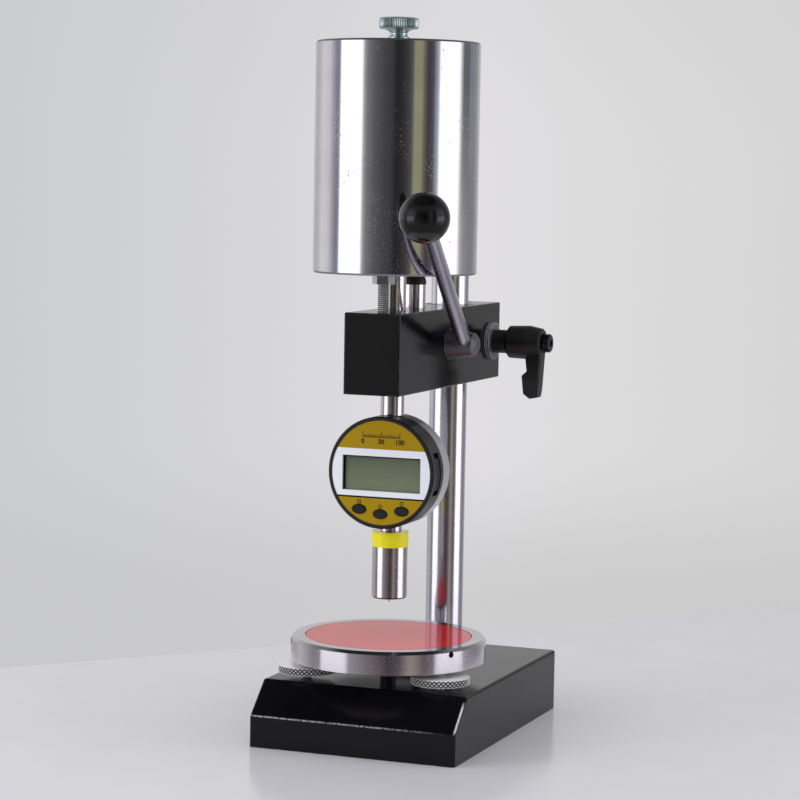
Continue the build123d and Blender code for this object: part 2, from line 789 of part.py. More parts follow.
flank_steps = 2
flank_radii = [
    base_radius + (pinion_tip_radius - base_radius) * step / flank_steps for step in range(flank_steps + 1)
]
right_flank = [Vector(r, 0).rotate(Axis.Z, -tooth_half_angle(r) * 180 / pi) for r in flank_radii]
left_flank = [Vector(r, 0).rotate(Axis.Z, tooth_half_angle(r) * 180 / pi) for r in reversed(flank_radii)]
root_angle = tooth_half_angle(base_radius) * 180 / pi
tooth_outline = [
    Vector(root_radius - 0.3 * tooth_module, 0).rotate(Axis.Z, -root_angle),
    *right_flank,
    *left_flank,
    Vector(root_radius - 0.3 * tooth_module, 0).rotate(Axis.Z, root_angle),
]
with BuildPart() as pinion:
    with BuildSketch(side_at(-pinion_width / 2, pivot_y, pivot_z)):
        Circle(root_radius)
        with PolarLocations(0, pinion_teeth):
            Polygon(*[(point.X, point.Y) for point in tooth_outline], align=None)
        Circle(shaft_diameter / 2, mode=Mode.SUBTRACT)
        with Locations((0, shaft_diameter / 2)):
            Rectangle(key_square, 2 * (key_square - key_sink + face_gap), mode=Mode.SUBTRACT)
    extrude(amount=pinion_width)
pinion.part.label = "pinion"
export_step(pinion.part, "parts/pinion.step")

rod_end = lever_length - ball_flat
with BuildPart() as lever_rod:
    with BuildSketch(across_rod(rod_seat)):
        Circle(rod_diameter / 2)
    extrude(amount=rod_end - rod_seat)
    with BuildSketch(across_rod(rod_end)):
        Circle(rod_pin / 2)
    extrude(amount=rod_pin_length)
lever_rod.part.label = "lever_rod"
export_step(lever_rod.part, "parts/lever_rod.step")

with BuildPart() as ball_knob:
    with Locations(rod_root + rod_direction * lever_length):
        Sphere(ball_diameter / 2)
    with BuildSketch(across_rod(rod_end)):
        Circle(ball_diameter / 2)
    extrude(amount=-ball_diameter / 2, mode=Mode.SUBTRACT)
    with BuildSketch(across_rod(rod_end)):
        Circle(rod_pin / 2 + thread_play)
    extrude(amount=rod_pin_length + face_gap, mode=Mode.SUBTRACT)
ball_knob.part.label = "ball_knob"
export_step(ball_knob.part, "parts/ball_knob.step")

# ==== clamp ====
washer_end = arm_side + 2 * clamp_washer_thickness + face_gap
handle_start = washer_end + face_gap
clamp_axis = Axis((0, clamp_y, clamp_z), (1, 0, 0))
with BuildPart() as clamp_washers:
    for number in range(2):
        with BuildSketch(side_at(arm_side + number * (clamp_washer_thickness + face_gap), clamp_y, clamp_z)):
            Circle(clamp_washer_diameter / 2)
            Circle(clamp_thread / 2 + bolt_play, mode=Mode.SUBTRACT)
        extrude(amount=clamp_washer_thickness)
clamp_washers.part.label = "clamp_washers"
export_step(clamp_washers.part, "parts/clamp_washers.step")

crest_radius = clamp_thread / 2
notch_radius = crest_radius - serration_depth
serration_x = handle_start + serration_start


def serration(widen):
    """Closed star outline of the serration, widened for the part that slides over it."""
    return [
        Vector((crest_radius if turn % 2 == 0 else notch_radius) + widen, 0).rotate(
            Axis.Z, turn * 180 / serration_teeth
        )
        for turn in range(2 * serration_teeth)
    ]


with BuildPart() as clamp_screw:
    with BuildSketch(side_at(clamp_thread_end - arm_side, clamp_y, clamp_z)):
        Circle(crest_radius)
    extrude(amount=serration_x + arm_side - clamp_thread_end)
    chamfer(clamp_screw.edges().group_by(Axis.X)[0], serration_depth)
    with BuildSketch(side_at(serration_x, clamp_y, clamp_z)):
        Polygon(*[(point.X, point.Y) for point in serration(0)], align=None)
    extrude(amount=serration_length)
    with BuildSketch(side_at(serration_x + serration_length, clamp_y, clamp_z)):
        Circle(handle_screw_thread / 2 + thread_play)
    extrude(amount=-3 * serration_length, mode=Mode.SUBTRACT)
clamp_screw.part.label = "clamp_screw"
export_step(clamp_screw.part, "parts/clamp_screw.step")

hub_x = handle_start + handle_neck_length + handle_cone_length
handle_end = handle_start + handle_length
chamber_floor = handle_end - handle_chamber_depth
arm_outline = [(handle_end + x, z) for x, z in handle_outline]
with BuildPart() as clamp_handle:
    with BuildSketch(section_at(clamp_y - handle_thickness / 2, clamp_z)):
        with BuildLine():
            Polyline(*arm_outline, close=True)
        make_face()
    extrude(amount=-handle_thickness)
    chamfer(clamp_handle.edges().filter_by(Axis.Y, reverse=True), handle_edge)
    # the arm thins towards its end on both sides
    with BuildSketch(side_at(0, clamp_y, clamp_z)):
        for side in (-1, 1):
            Polygon(
                (side * handle_thickness / 2, -handle_thin_start),
                (side * handle_tip_thickness / 2, -handle_reach),
                (side * handle_thickness, -handle_reach),
                align=None,
            )
    extrude(amount=2 * handle_end, mode=Mode.SUBTRACT)
    with BuildSketch(section_at(clamp_y, clamp_z)):
        with BuildLine():
            Polyline(
                (handle_start, 0),
                (handle_start, handle_neck / 2),
                (handle_start + handle_neck_length, handle_neck / 2),
                (hub_x, handle_hub / 2),
                (handle_start + handle_shoulder, handle_shoulder_diameter / 2),
                (handle_end - handle_edge, handle_end_diameter / 2),
                (handle_end, handle_end_diameter / 2 - handle_edge),
                (handle_end, 0),
                close=True,
            )
        make_face()
    revolve(axis=clamp_axis)
    # stepped bore: screw body, serration, screw end, retaining screw and its spring
    with BuildSketch(side_at(handle_start, clamp_y, clamp_z)):
        Circle(crest_radius + serration_play)
    extrude(amount=serration_start, mode=Mode.SUBTRACT)
    with BuildSketch(side_at(serration_x, clamp_y, clamp_z)):
        Polygon(*[(point.X, point.Y) for point in serration(serration_play)], align=None)
    extrude(amount=serration_length, mode=Mode.SUBTRACT)
    with BuildSketch(side_at(serration_x + serration_length, clamp_y, clamp_z)):
        Circle(crest_radius + serration_play)
    extrude(amount=chamber_floor - handle_wall - serration_x - serration_length, mode=Mode.SUBTRACT)
    with BuildSketch(side_at(serration_x, clamp_y, clamp_z)):
        Circle(handle_screw_thread / 2 + bolt_play)
    extrude(amount=handle_length, mode=Mode.SUBTRACT)
    with BuildSketch(side_at(chamber_floor, clamp_y, clamp_z)):
        Circle(handle_chamber / 2)
    extrude(amount=handle_chamber_depth, mode=Mode.SUBTRACT)
clamp_handle.part.label = "clamp_handle"
export_step(clamp_handle.part, "parts/clamp_handle.step")

head_x = handle_end + handle_screw_rise
with BuildPart() as handle_screw:
    with BuildSketch(side_at(head_x, clamp_y, clamp_z)):
        Circle(handle_screw_head / 2)
    extrude(amount=handle_screw_head_height)
    chamfer(handle_screw.edges().group_by(Axis.X)[-1], serration_depth)
    with BuildSketch(side_at(head_x, clamp_y, clamp_z)):
        Circle(handle_screw_thread / 2)
    extrude(amount=serration_x - head_x)
    with BuildSketch(side_at(head_x + handle_screw_head_height, clamp_y, clamp_z)):
        RegularPolygon(handle_screw_thread * 0.4, 6, major_radius=False)
    extrude(amount=-0.6 * handle_screw_thread, mode=Mode.SUBTRACT)
handle_screw.part.label = "handle_screw"
export_step(handle_screw.part, "parts/handle_screw.step")


def coil(start, direction, length, mean_diameter, wire, turns):
    """Compression spring of square wire, from a start point along a direction."""
    with BuildPart() as spring:
        with BuildLine():
            path = Helix(
                pitch=(length - wire) / turns,
                height=length - wire,
                radius=mean_diameter / 2,
                center=start + direction * (wire / 2),
                direction=direction,
            )
        with BuildSketch(Plane(origin=path @ 0, x_dir=direction, z_dir=path % 0)):
            Rectangle(wire, wire)
        sweep(path=path, is_frenet=True)
    return spring


handle_spring = coil(
    Vector(chamber_floor + face_gap, clamp_y, clamp_z),
    Vector(1, 0, 0),
    head_x - chamber_floor - 2 * face_gap,
    handle_coil,
    handle_wire,
    handle_turns,
)
handle_spring.part.label = "handle_spring"
export_step(handle_spring.part, "parts/handle_spring.step")

# ==== load ====
case_radius = case_diameter / 2
spindle_bottom = gauge_z + case_radius - boss_flat
with BuildPart() as weight:
    with BuildSketch(level_at(weight_bottom, spindle_y)):
        Circle(weight_diameter / 2)
    extrude(amount=weight_height)
    chamfer(weight.edges().group_by(Axis.Z)[0], weight_edge)
    chamfer(weight.edges().group_by(Axis.Z)[-1], weight_edge)
    with BuildSketch(level_at(weight_bottom, spindle_y)):
        Circle(spindle_nose / 2 + running_play)
    extrude(amount=weight_height, mode=Mode.SUBTRACT)
    with BuildSketch(level_at(weight_bottom, stud_y)):
        Circle(stud_thread / 2 + thread_play)
    extrude(amount=stud_seat + drill_depth, mode=Mode.SUBTRACT)
weight.part.label = "weight"
export_step(weight.part, "parts/weight.step")

spindle_top = weight_top - spindle_nose_drop
with BuildPart() as spindle:
    with BuildSketch(section_at(spindle_y)):
        with BuildLine():
            Polyline(
                (0, spindle_bottom - socket_depth + face_gap),
                (socket_diameter / 2, spindle_bottom - socket_depth + face_gap),
                (socket_diameter / 2, spindle_bottom),
                (spindle_diameter / 2 - arm_edge, spindle_bottom),
                (spindle_diameter / 2, spindle_bottom + arm_edge),
                (spindle_diameter / 2, weight_bottom),
                (spindle_nose / 2, weight_bottom),
                (spindle_nose / 2, spindle_top - arm_edge),
                (spindle_nose / 2 - arm_edge, spindle_top),
                (0, spindle_top),
                close=True,
            )
        make_face()
    revolve(axis=Axis((0, spindle_y, 0), (0, 0, 1)))
    with BuildSketch(level_at(spindle_top, spindle_y)):
        Circle(thumb_thread / 2 + thread_play)
    extrude(amount=-thumb_shank, mode=Mode.SUBTRACT)
spindle.part.label = "spindle"
export_step(spindle.part, "parts/spindle.step")

with BuildPart() as thumb_washer:
    with BuildSketch(level_at(weight_top, spindle_y)):
        Circle(thumb_washer_diameter / 2)
        Circle(thumb_thread / 2 + bolt_play, mode=Mode.SUBTRACT)
    extrude(amount=thumb_washer_thickness)
thumb_washer.part.label = "thumb_washer"
export_step(thumb_washer.part, "parts/thumb_washer.step")

thumb_base = weight_top + thumb_washer_thickness
thumb_top = thumb_base + thumb_height
with BuildPart() as thumb_screw:
    with BuildSketch(section_at(spindle_y)):
        with BuildLine():
            collar = (thumb_collar / 2, thumb_base + thumb_collar_height)
            head = (thumb_head / 2 - 2 * thumb_edge, thumb_top - thumb_head_height)
            Polyline(
                head,
                (thumb_head / 2 - thumb_edge, thumb_top - thumb_head_height),
                (thumb_head / 2, thumb_top - thumb_head_height + thumb_edge),
                (thumb_head / 2, thumb_top - thumb_edge),
                (thumb_head / 2 - thumb_edge, thumb_top),
                (0, thumb_top),
                (0, thumb_base - thumb_shank),
                (thumb_thread / 2, thumb_base - thumb_shank),
                (thumb_thread / 2, thumb_base),
                (thumb_collar / 2, thumb_base),
                collar,
            )
            ThreePointArc(collar, (thumb_neck / 2, (collar[1] + head[1]) / 2 - thumb_edge), head)
        make_face()
    revolve(axis=Axis((0, spindle_y, 0), (0, 0, 1)))
thumb_screw.part.label = "thumb_screw"
export_step(thumb_screw.part, "parts/thumb_screw.step")

with BuildPart() as guide_stud:
    with BuildSketch(level_at(arm_bottom + stud_end, stud_y)):
        Circle(stud_thread / 2)
    extrude(amount=weight_bottom + stud_seat - arm_bottom - stud_end)
    chamfer(guide_stud.edges().group_by(Axis.Z)[0], spindle_nose_drop / 2)
guide_stud.part.label = "guide_stud"
export_step(guide_stud.part, "parts/guide_stud.step")

nut_tops = {
    "lock_nut": (weight_bottom, lock_nut_height),
    "stop_nut": (arm_bottom + stop_bore_depth - bolt_play, stop_nut_height),
}
for name, (top, height) in nut_tops.items():
    with BuildPart() as nut:
        with BuildSketch(level_at(top - height, stud_y)):
            RegularPolygon(nut_flats / 2, 6, major_radius=False, rotation=nut_turn)
            Circle(stud_thread / 2 + thread_play, mode=Mode.SUBTRACT)
        extrude(amount=height)
    nut.part.label = name
    export_step(nut.part, f"parts/{name}.step")

# ==== gauge ====
face_seat = face_recess + face_thickness
board_front = face_seat + window_thickness + panel_thickness
board_back = board_front + board_thickness
cavity_radius = case_radius - case_wall
flat_above = gauge_z + case_radius - boss_flat
flat_below = gauge_z - case_radius + foot_boss_flat
neck_radius = neck_diameter / 2
face_radius = case_radius - face_rim
rod_top = flat_above - boss_length - plunger_top_gap
glass_width = screen_width + 2 * window_margin
glass_height = screen_height + 2 * window_margin
key_middles = {side: (x * case_diameter, z * case_diameter) for side, (x, z) in key_shares.items()}
post_middles = [(x, z) for x in (-post_x, post_x) for z in (-post_z, post_z)]


def depth_at(depth):
    """Plane square to Y at a depth behind the gauge face: local x is X, local y is Z."""
    return Plane(origin=(0, gauge_front + depth, gauge_z), x_dir=(1, 0, 0), z_dir=(0, -1, 0))


with BuildPart() as gauge_case:
    with BuildSketch(depth_at(0)):
        Circle(case_radius)
    extrude(amount=-case_depth)
    chamfer(gauge_case.edges().group_by(Axis.Y)[0], case_edge)
    with BuildSketch(depth_at(0)):
        Circle(face_radius + face_gap)
    extrude(amount=-face_seat, mode=Mode.SUBTRACT)
    with BuildSketch(depth_at(face_seat)):
        Circle(cavity_radius)
    extrude(amount=-case_depth, mode=Mode.SUBTRACT)
    # posts for the rear screws
    with BuildSketch(depth_at(face_seat)):
        with Locations(*post_middles):
            Circle(post_diameter / 2)
    extrude(amount=face_seat - case_depth)
    # bosses that carry the spindle above and the presser foot below
    with BuildSketch(level_at(flat_above, spindle_y)):
        Circle(boss_diameter / 2)
    extrude(amount=-boss_length)
    with BuildSketch(level_at(flat_below, spindle_y)):
        Circle(foot_boss_diameter / 2)
    extrude(amount=boss_length)
    with BuildSketch(level_at(flat_above, spindle_y)):
        Circle(boss_diameter / 2 + face_gap)
    extrude(amount=case_diameter, mode=Mode.SUBTRACT)
    with BuildSketch(level_at(flat_below, spindle_y)):
        Circle(foot_boss_diameter / 2 + face_gap)
    extrude(amount=-case_diameter, mode=Mode.SUBTRACT)
    with BuildSketch(level_at(flat_above, spindle_y)):
        Circle(socket_diameter / 2 + thread_play)
    extrude(amount=-socket_depth, mode=Mode.SUBTRACT)
    with BuildSketch(level_at(sleeve_top, spindle_y)):
        Circle(neck_radius + thread_play)
    extrude(amount=neck_length + neck_reach + face_gap, mode=Mode.SUBTRACT)
    with BuildSketch(level_at(flat_below, spindle_y)):
        Circle(plunger_rod / 2 + running_play)
    extrude(amount=boss_length + face_gap, mode=Mode.SUBTRACT)
    with BuildSketch(depth_at(case_depth)):
        with Locations(*post_middles):
            Circle(back_screw_thread / 2 + thread_play)
    extrude(amount=back_screw_length, mode=Mode.SUBTRACT)
    # recess of the port cover in the right side
    with BuildSketch(depth_at(port_centre - port_width / 2)):
        Circle(case_diameter)
        Circle(case_radius - port_depth, mode=Mode.SUBTRACT)
        with Locations((case_radius, 0)):
            Rectangle(case_radius, port_height, mode=Mode.INTERSECT)
    extrude(amount=-port_width, mode=Mode.SUBTRACT)
gauge_case.part.label = "gauge_case"
export_step(gauge_case.part, "parts/gauge_case.step")

with BuildPart() as port_cover:
    with BuildSketch(depth_at(port_centre - port_width / 2 + face_gap)):
        Circle(case_radius - port_depth + port_cover_thickness)
        Circle(case_radius - port_depth, mode=Mode.SUBTRACT)
        with Locations((case_radius, 0)):
            Rectangle(case_radius, port_height - 2 * port_slot, mode=Mode.INTERSECT)
    extrude(amount=2 * face_gap - port_width)
port_cover.part.label = "port_cover"
export_step(port_cover.part, "parts/port_cover.step")

with BuildPart() as gauge_back:
    with BuildSketch(depth_at(case_depth)):
        Circle(case_radius)
    extrude(amount=-shell_depth)
    chamfer(gauge_back.edges().group_by(Axis.Y)[-1], shell_edge)
    with BuildSketch(depth_at(case_depth)):
        Circle(case_radius - shell_wall)
    extrude(amount=shell_wall - shell_depth, mode=Mode.SUBTRACT)
    # notches round the two bosses and the spindle
    with BuildSketch(level_at(gauge_z, spindle_y)):
        Circle(boss_diameter / 2 + face_gap)
    extrude(amount=case_diameter, mode=Mode.SUBTRACT)
    with BuildSketch(level_at(gauge_z, spindle_y)):
        Circle(foot_boss_diameter / 2 + face_gap)
    extrude(amount=-case_diameter, mode=Mode.SUBTRACT)
    with BuildSketch(depth_at(case_depth)):
        with Locations(*post_middles):
            Circle(back_screw_thread / 2 + seat_play)
    extrude(amount=-shell_depth, mode=Mode.SUBTRACT)
    with BuildSketch(depth_at(case_depth + shell_depth)):
        with Locations(*post_middles):
            Circle(back_screw_head / 2 + seat_play)
    extrude(amount=back_screw_head_height, mode=Mode.SUBTRACT)
gauge_back.part.label = "gauge_back"
export_step(gauge_back.part, "parts/gauge_back.step")

with BuildPart() as back_screws:
    head_seat = case_depth + shell_depth - back_screw_head_height
    with BuildSketch(depth_at(head_seat)):
        with Locations(*post_middles):
            Circle(back_screw_head / 2)
    extrude(amount=face_gap - back_screw_head_height)
    with BuildSketch(depth_at(head_seat)):
        with Locations(*post_middles):
            Circle(back_screw_thread / 2)
    extrude(amount=shell_depth - back_screw_head_height + back_screw_length - thumb_edge)
back_screws.part.label = "back_screws"
export_step(back_screws.part, "parts/back_screws.step")

with BuildPart() as face_plate:
    with BuildSketch(depth_at(face_recess)):
        Circle(face_radius)
        with Locations((screen_x, screen_z)):
            Rectangle(screen_width, screen_height, mode=Mode.SUBTRACT)
        with Locations(*key_middles.values()):
            Ellipse(key_long / 2 + key_play, key_high / 2 + key_play, mode=Mode.SUBTRACT)
    extrude(amount=-face_thickness)
face_plate.part.label = "face_plate"
export_step(face_plate.part, "parts/face_plate.step")

with BuildPart() as lcd_window:
    with BuildSketch(depth_at(face_seat)):
        with Locations((screen_x, screen_z)):
            Rectangle(glass_width, glass_height)
    extrude(amount=-window_thickness)
lcd_window.part.label = "lcd_window"
export_step(lcd_window.part, "parts/lcd_window.step")

with BuildPart() as lcd_panel:
    with BuildSketch(depth_at(face_seat + window_thickness)):
        with Locations((screen_x, screen_z)):
            Rectangle(glass_width, glass_height)
    extrude(amount=-panel_thickness)
lcd_panel.part.label = "lcd_panel"
export_step(lcd_panel.part, "parts/lcd_panel.step")

with BuildPart() as circuit_board:
    with BuildSketch(depth_at(board_front)):
        Circle(cavity_radius - board_play)
        with Locations(*post_middles):
            Circle(post_diameter / 2 + board_play, mode=Mode.SUBTRACT)
    extrude(amount=-board_thickness)
circuit_board.part.label = "circuit_board"
export_step(circuit_board.part, "parts/circuit_board.step")

with BuildPart() as battery:
    with BuildSketch(depth_at(board_back)):
        with Locations((battery_x, 0)):
            Circle(battery_diameter / 2)
    extrude(amount=-battery_thickness)
    chamfer(battery.edges().group_by(Axis.Y)[-1], battery_thickness / 8)
battery.part.label = "battery"
export_step(battery.part, "parts/battery.step")

sensor_x = plunger_rod / 2 + board_play + sensor_width / 2
with BuildPart() as sensor_head:
    with BuildSketch(depth_at(board_back)):
        with Locations((sensor_x, rod_top - gauge_z - sensor_height / 2)):
            Rectangle(sensor_width, sensor_height)
    extrude(amount=-sensor_depth)
sensor_head.part.label = "sensor_head"
export_step(sensor_head.part, "parts/sensor_head.step")

key_back = board_front - dome_height
for side, place in key_middles.items():
    with BuildPart() as button:
        with BuildSketch(depth_at(-key_proud + face_recess)):
            with Locations(place):
                Ellipse(key_long / 2, key_high / 2)
        extrude(amount=-face_thickness - key_proud)
        chamfer(button.edges().group_by(Axis.Y)[0], key_proud / 2)
        with BuildSketch(depth_at(face_seat + face_gap)):
            with Locations(place):
                Ellipse(key_long / 2 + key_flange, key_high / 2 + key_flange)
            Circle(cavity_radius - board_play, mode=Mode.INTERSECT)
        extrude(amount=-key_flange_height)
        with BuildSketch(depth_at(face_seat)):
            with Locations(place):
                Circle(dome_diameter / 2 - key_flange)
        extrude(amount=face_seat - key_back)
    button.part.label = f"button_{side}"
    export_step(button.part, f"parts/button_{side}.step")

with BuildPart() as button_domes:
    for place in key_middles.values():
        with BuildSketch(depth_at(board_front)):
            with Locations(place):
                Circle(dome_diameter / 2)
        with BuildSketch(depth_at(key_back)):
            with Locations(place):
                Circle(dome_diameter / 4)
        loft()
button_domes.part.label = "button_domes"
export_step(button_domes.part, "parts/button_domes.step")

# ==== presser foot and indenter ====
foot_radius = foot_diameter / 2
with BuildPart() as presser_foot:
    with BuildSketch(section_at(spindle_y)):
        with BuildLine():
            Polyline(
                (foot_hole / 2, foot_bottom),
                (foot_radius - foot_edge, foot_bottom),
                (foot_radius, foot_bottom + foot_edge),
                (foot_radius, sleeve_top),
                (neck_radius, sleeve_top),
                (neck_radius, sleeve_top + neck_length + neck_reach),
                (plunger_rod / 2 + running_play, sleeve_top + neck_length + neck_reach),
                (plunger_rod / 2 + running_play, sleeve_top - foot_roof),
                (foot_bore / 2, sleeve_top - foot_roof),
                (foot_bore / 2, foot_bottom + foot_floor),
                (foot_hole / 2, foot_bottom + foot_floor),
                close=True,
            )
        make_face()
    revolve(axis=Axis((0, spindle_y, 0), (0, 0, 1)))
presser_foot.part.label = "presser_foot"
export_step(presser_foot.part, "parts/presser_foot.step")

with BuildPart() as foot_label:
    with BuildSketch(level_at(sleeve_top - label_drop, spindle_y)):
        Circle(foot_radius + label_thickness)
        Circle(foot_radius, mode=Mode.SUBTRACT)
    extrude(amount=-label_height)
foot_label.part.label = "foot_label"
export_step(foot_label.part, "parts/foot_label.step")

tip_z = foot_bottom - indenter_reach
cone_height = (indenter_diameter / 2 - indenter_tip_radius) / tan(radians(indenter_cone_angle / 2))
flange_bottom = foot_bottom + foot_floor + face_gap
with BuildPart() as indenter:
    with BuildSketch(section_at(spindle_y)):
        with BuildLine():
            Polyline(
                (0, tip_z),
                (indenter_tip_radius, tip_z),
                (indenter_diameter / 2, tip_z + cone_height),
                (indenter_diameter / 2, flange_bottom),
                (plunger_diameter / 2, flange_bottom),
                (plunger_diameter / 2, flange_bottom + plunger_thickness),
                (plunger_rod / 2, flange_bottom + plunger_thickness),
                (plunger_rod / 2, rod_top),
                (0, rod_top),
                close=True,
            )
        make_face()
    revolve(axis=Axis((0, spindle_y, 0), (0, 0, 1)))
indenter.part.label = "indenter"
export_step(indenter.part, "parts/indenter.step")

indenter_spring_bottom = flange_bottom + plunger_thickness + face_gap
indenter_spring = coil(
    Vector(0, spindle_y, indenter_spring_bottom),
    Vector(0, 0, 1),
    sleeve_top - foot_roof - face_gap - indenter_spring_bottom,
    indenter_coil,
    indenter_wire,
    indenter_turns,
)
indenter_spring.part.label = "indenter_spring"
export_step(indenter_spring.part, "parts/indenter_spring.step")
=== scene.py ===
from math import cos, pi, radians, sin

import bmesh
import bpy
from mathutils import Matrix, Vector


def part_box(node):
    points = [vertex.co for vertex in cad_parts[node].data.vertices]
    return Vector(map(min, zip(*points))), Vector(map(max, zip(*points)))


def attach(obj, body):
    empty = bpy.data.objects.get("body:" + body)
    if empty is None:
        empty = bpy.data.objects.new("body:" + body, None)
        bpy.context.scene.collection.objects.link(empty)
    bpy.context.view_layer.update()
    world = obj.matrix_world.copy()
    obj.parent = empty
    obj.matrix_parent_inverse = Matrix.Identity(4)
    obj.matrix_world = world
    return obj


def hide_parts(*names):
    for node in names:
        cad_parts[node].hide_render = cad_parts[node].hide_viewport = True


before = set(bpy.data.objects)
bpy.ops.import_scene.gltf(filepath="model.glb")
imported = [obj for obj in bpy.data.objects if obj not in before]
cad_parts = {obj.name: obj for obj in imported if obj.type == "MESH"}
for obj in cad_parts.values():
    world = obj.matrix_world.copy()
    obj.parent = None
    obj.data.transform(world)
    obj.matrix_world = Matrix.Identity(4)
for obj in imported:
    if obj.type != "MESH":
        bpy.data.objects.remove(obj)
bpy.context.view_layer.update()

MM = 0.001
scene = bpy.context.scene
scene.view_settings.view_transform = "Standard"


def hue(red, green, blue):
    """A colour written in 0-255 screen values, as the linear colour the nodes use."""
    linear = [(v / 255 / 12.92 if v <= 10 else ((v / 255 + 0.055) / 1.055) ** 2.4) for v in (red, green, blue)]
    return (*linear, 1.0)


def grey(level):
    return hue(level, level, level)


# ==== node helpers ====
def put(tree, kind, inputs=None, **settings):
    """Adds a node. Each input gets a value, or the output of another node."""
    made = tree.nodes.new(kind)
    for key, value in settings.items():
        setattr(made, key, value)
    for key, value in (inputs or {}).items():
        socket = made.inputs[key]
        if isinstance(value, bpy.types.NodeSocket):
            tree.links.new(value, socket)
        else:
            socket.default_value = value
    return made


def calc(tree, operation, first, second=0.0, clamp=False):
    """The output of a math node."""
    node = put(tree, "ShaderNodeMath", {0: first, 1: second}, operation=operation, use_clamp=clamp)
    return node.outputs[0]


def blend_colours(tree, share, first, second):
    """Goes from the first colour to the second as share goes from 0 to 1."""
    node = put(tree, "ShaderNodeMix", {0: share, 6: first, 7: second}, data_type="RGBA")
    return node.outputs[2]


def spread(tree, value, from_low, from_high, to_low=0.0, to_high=1.0, smooth=False):
    """Maps one range of a value to another, and holds it at the ends."""
    kind = "SMOOTHSTEP" if smooth else "LINEAR"
    ends = {0: value, 1: from_low, 2: from_high, 3: to_low, 4: to_high}
    return put(tree, "ShaderNodeMapRange", ends, interpolation_type=kind).outputs[0]


def ramp(tree, factor, stops):
    """A colour ramp of (position, colour) stops."""
    node = put(tree, "ShaderNodeValToRGB", {0: factor})
    elements = node.color_ramp.elements
    while len(elements) < len(stops):
        elements.new(0.5)
    for element, (place, colour) in zip(elements, stops):
        element.position = place
        element.color = colour
    return node.outputs[0]


def group(name, inputs, outputs):
    """An empty node group with float inputs (name: default) or a vector one, and named outputs."""
    tree = bpy.data.node_groups.new(name, "ShaderNodeTree")
    for label, value in inputs.items():
        kind = "NodeSocketVector" if value is None else "NodeSocketFloat"
        socket = tree.interface.new_socket(label, in_out="INPUT", socket_type=kind)
        if value is not None:
            socket.default_value = value
    for label in outputs:
        tree.interface.new_socket(label, in_out="OUTPUT", socket_type="NodeSocketFloat")
    return tree, tree.nodes.new("NodeGroupInput").outputs, tree.nodes.new("NodeGroupOutput")


# ==== shared effects ====
def make_grain():
    """Cloudy and fine variation together."""
    tree, given, out = group("surface_grain", {"Place": None, "Fine scale": 900.0}, ["Cloud", "Fine"])
    cloud = put(tree, "ShaderNodeTexNoise", {"Vector": given["Place"], "Scale": 22.0, "Detail": 4.0})
    fine_inputs = {"Vector": given["Place"], "Scale": given["Fine scale"], "Detail": 3.0, "Roughness": 0.6}
    fine = put(tree, "ShaderNodeTexNoise", fine_inputs)
    tree.links.new(spread(tree, cloud.outputs[0], 0.3, 0.7), out.inputs["Cloud"])
    tree.links.new(spread(tree, fine.outputs[0], 0.25, 0.75), out.inputs["Fine"])
    return tree


def make_edge_wear_and_highlight():
    """Mask of convex edges, broken up so that it comes and goes; it carries edge wear and painted highlights
    along edges.
    """
    labels = {"Place": None, "Width": 0.0006, "Start": 0.35, "Breakup": 260.0}
    tree, given, out = group("edge_wear_and_highlight", labels, ["Mask"])
    rounded = put(tree, "ShaderNodeBevel", {"Radius": given["Width"]}, samples=6)
    true_normal = put(tree, "ShaderNodeNewGeometry").outputs["True Normal"]
    match = put(tree, "ShaderNodeVectorMath", {0: rounded.outputs[0], 1: true_normal}, operation="DOT_PRODUCT")
    bent = calc(tree, "SUBTRACT", 1.0, match.outputs["Value"])
    strength = spread(tree, bent, 0.004, 0.16)
    chip_inputs = {"Vector": given["Place"], "Scale": given["Breakup"], "Detail": 5.0}
    chips = put(tree, "ShaderNodeTexNoise", chip_inputs)
    broken = spread(tree, chips.outputs[0], given["Start"], calc(tree, "ADD", given["Start"], 0.22))
    tree.links.new(calc(tree, "MULTIPLY", strength, broken, clamp=True), out.inputs["Mask"])
    return tree


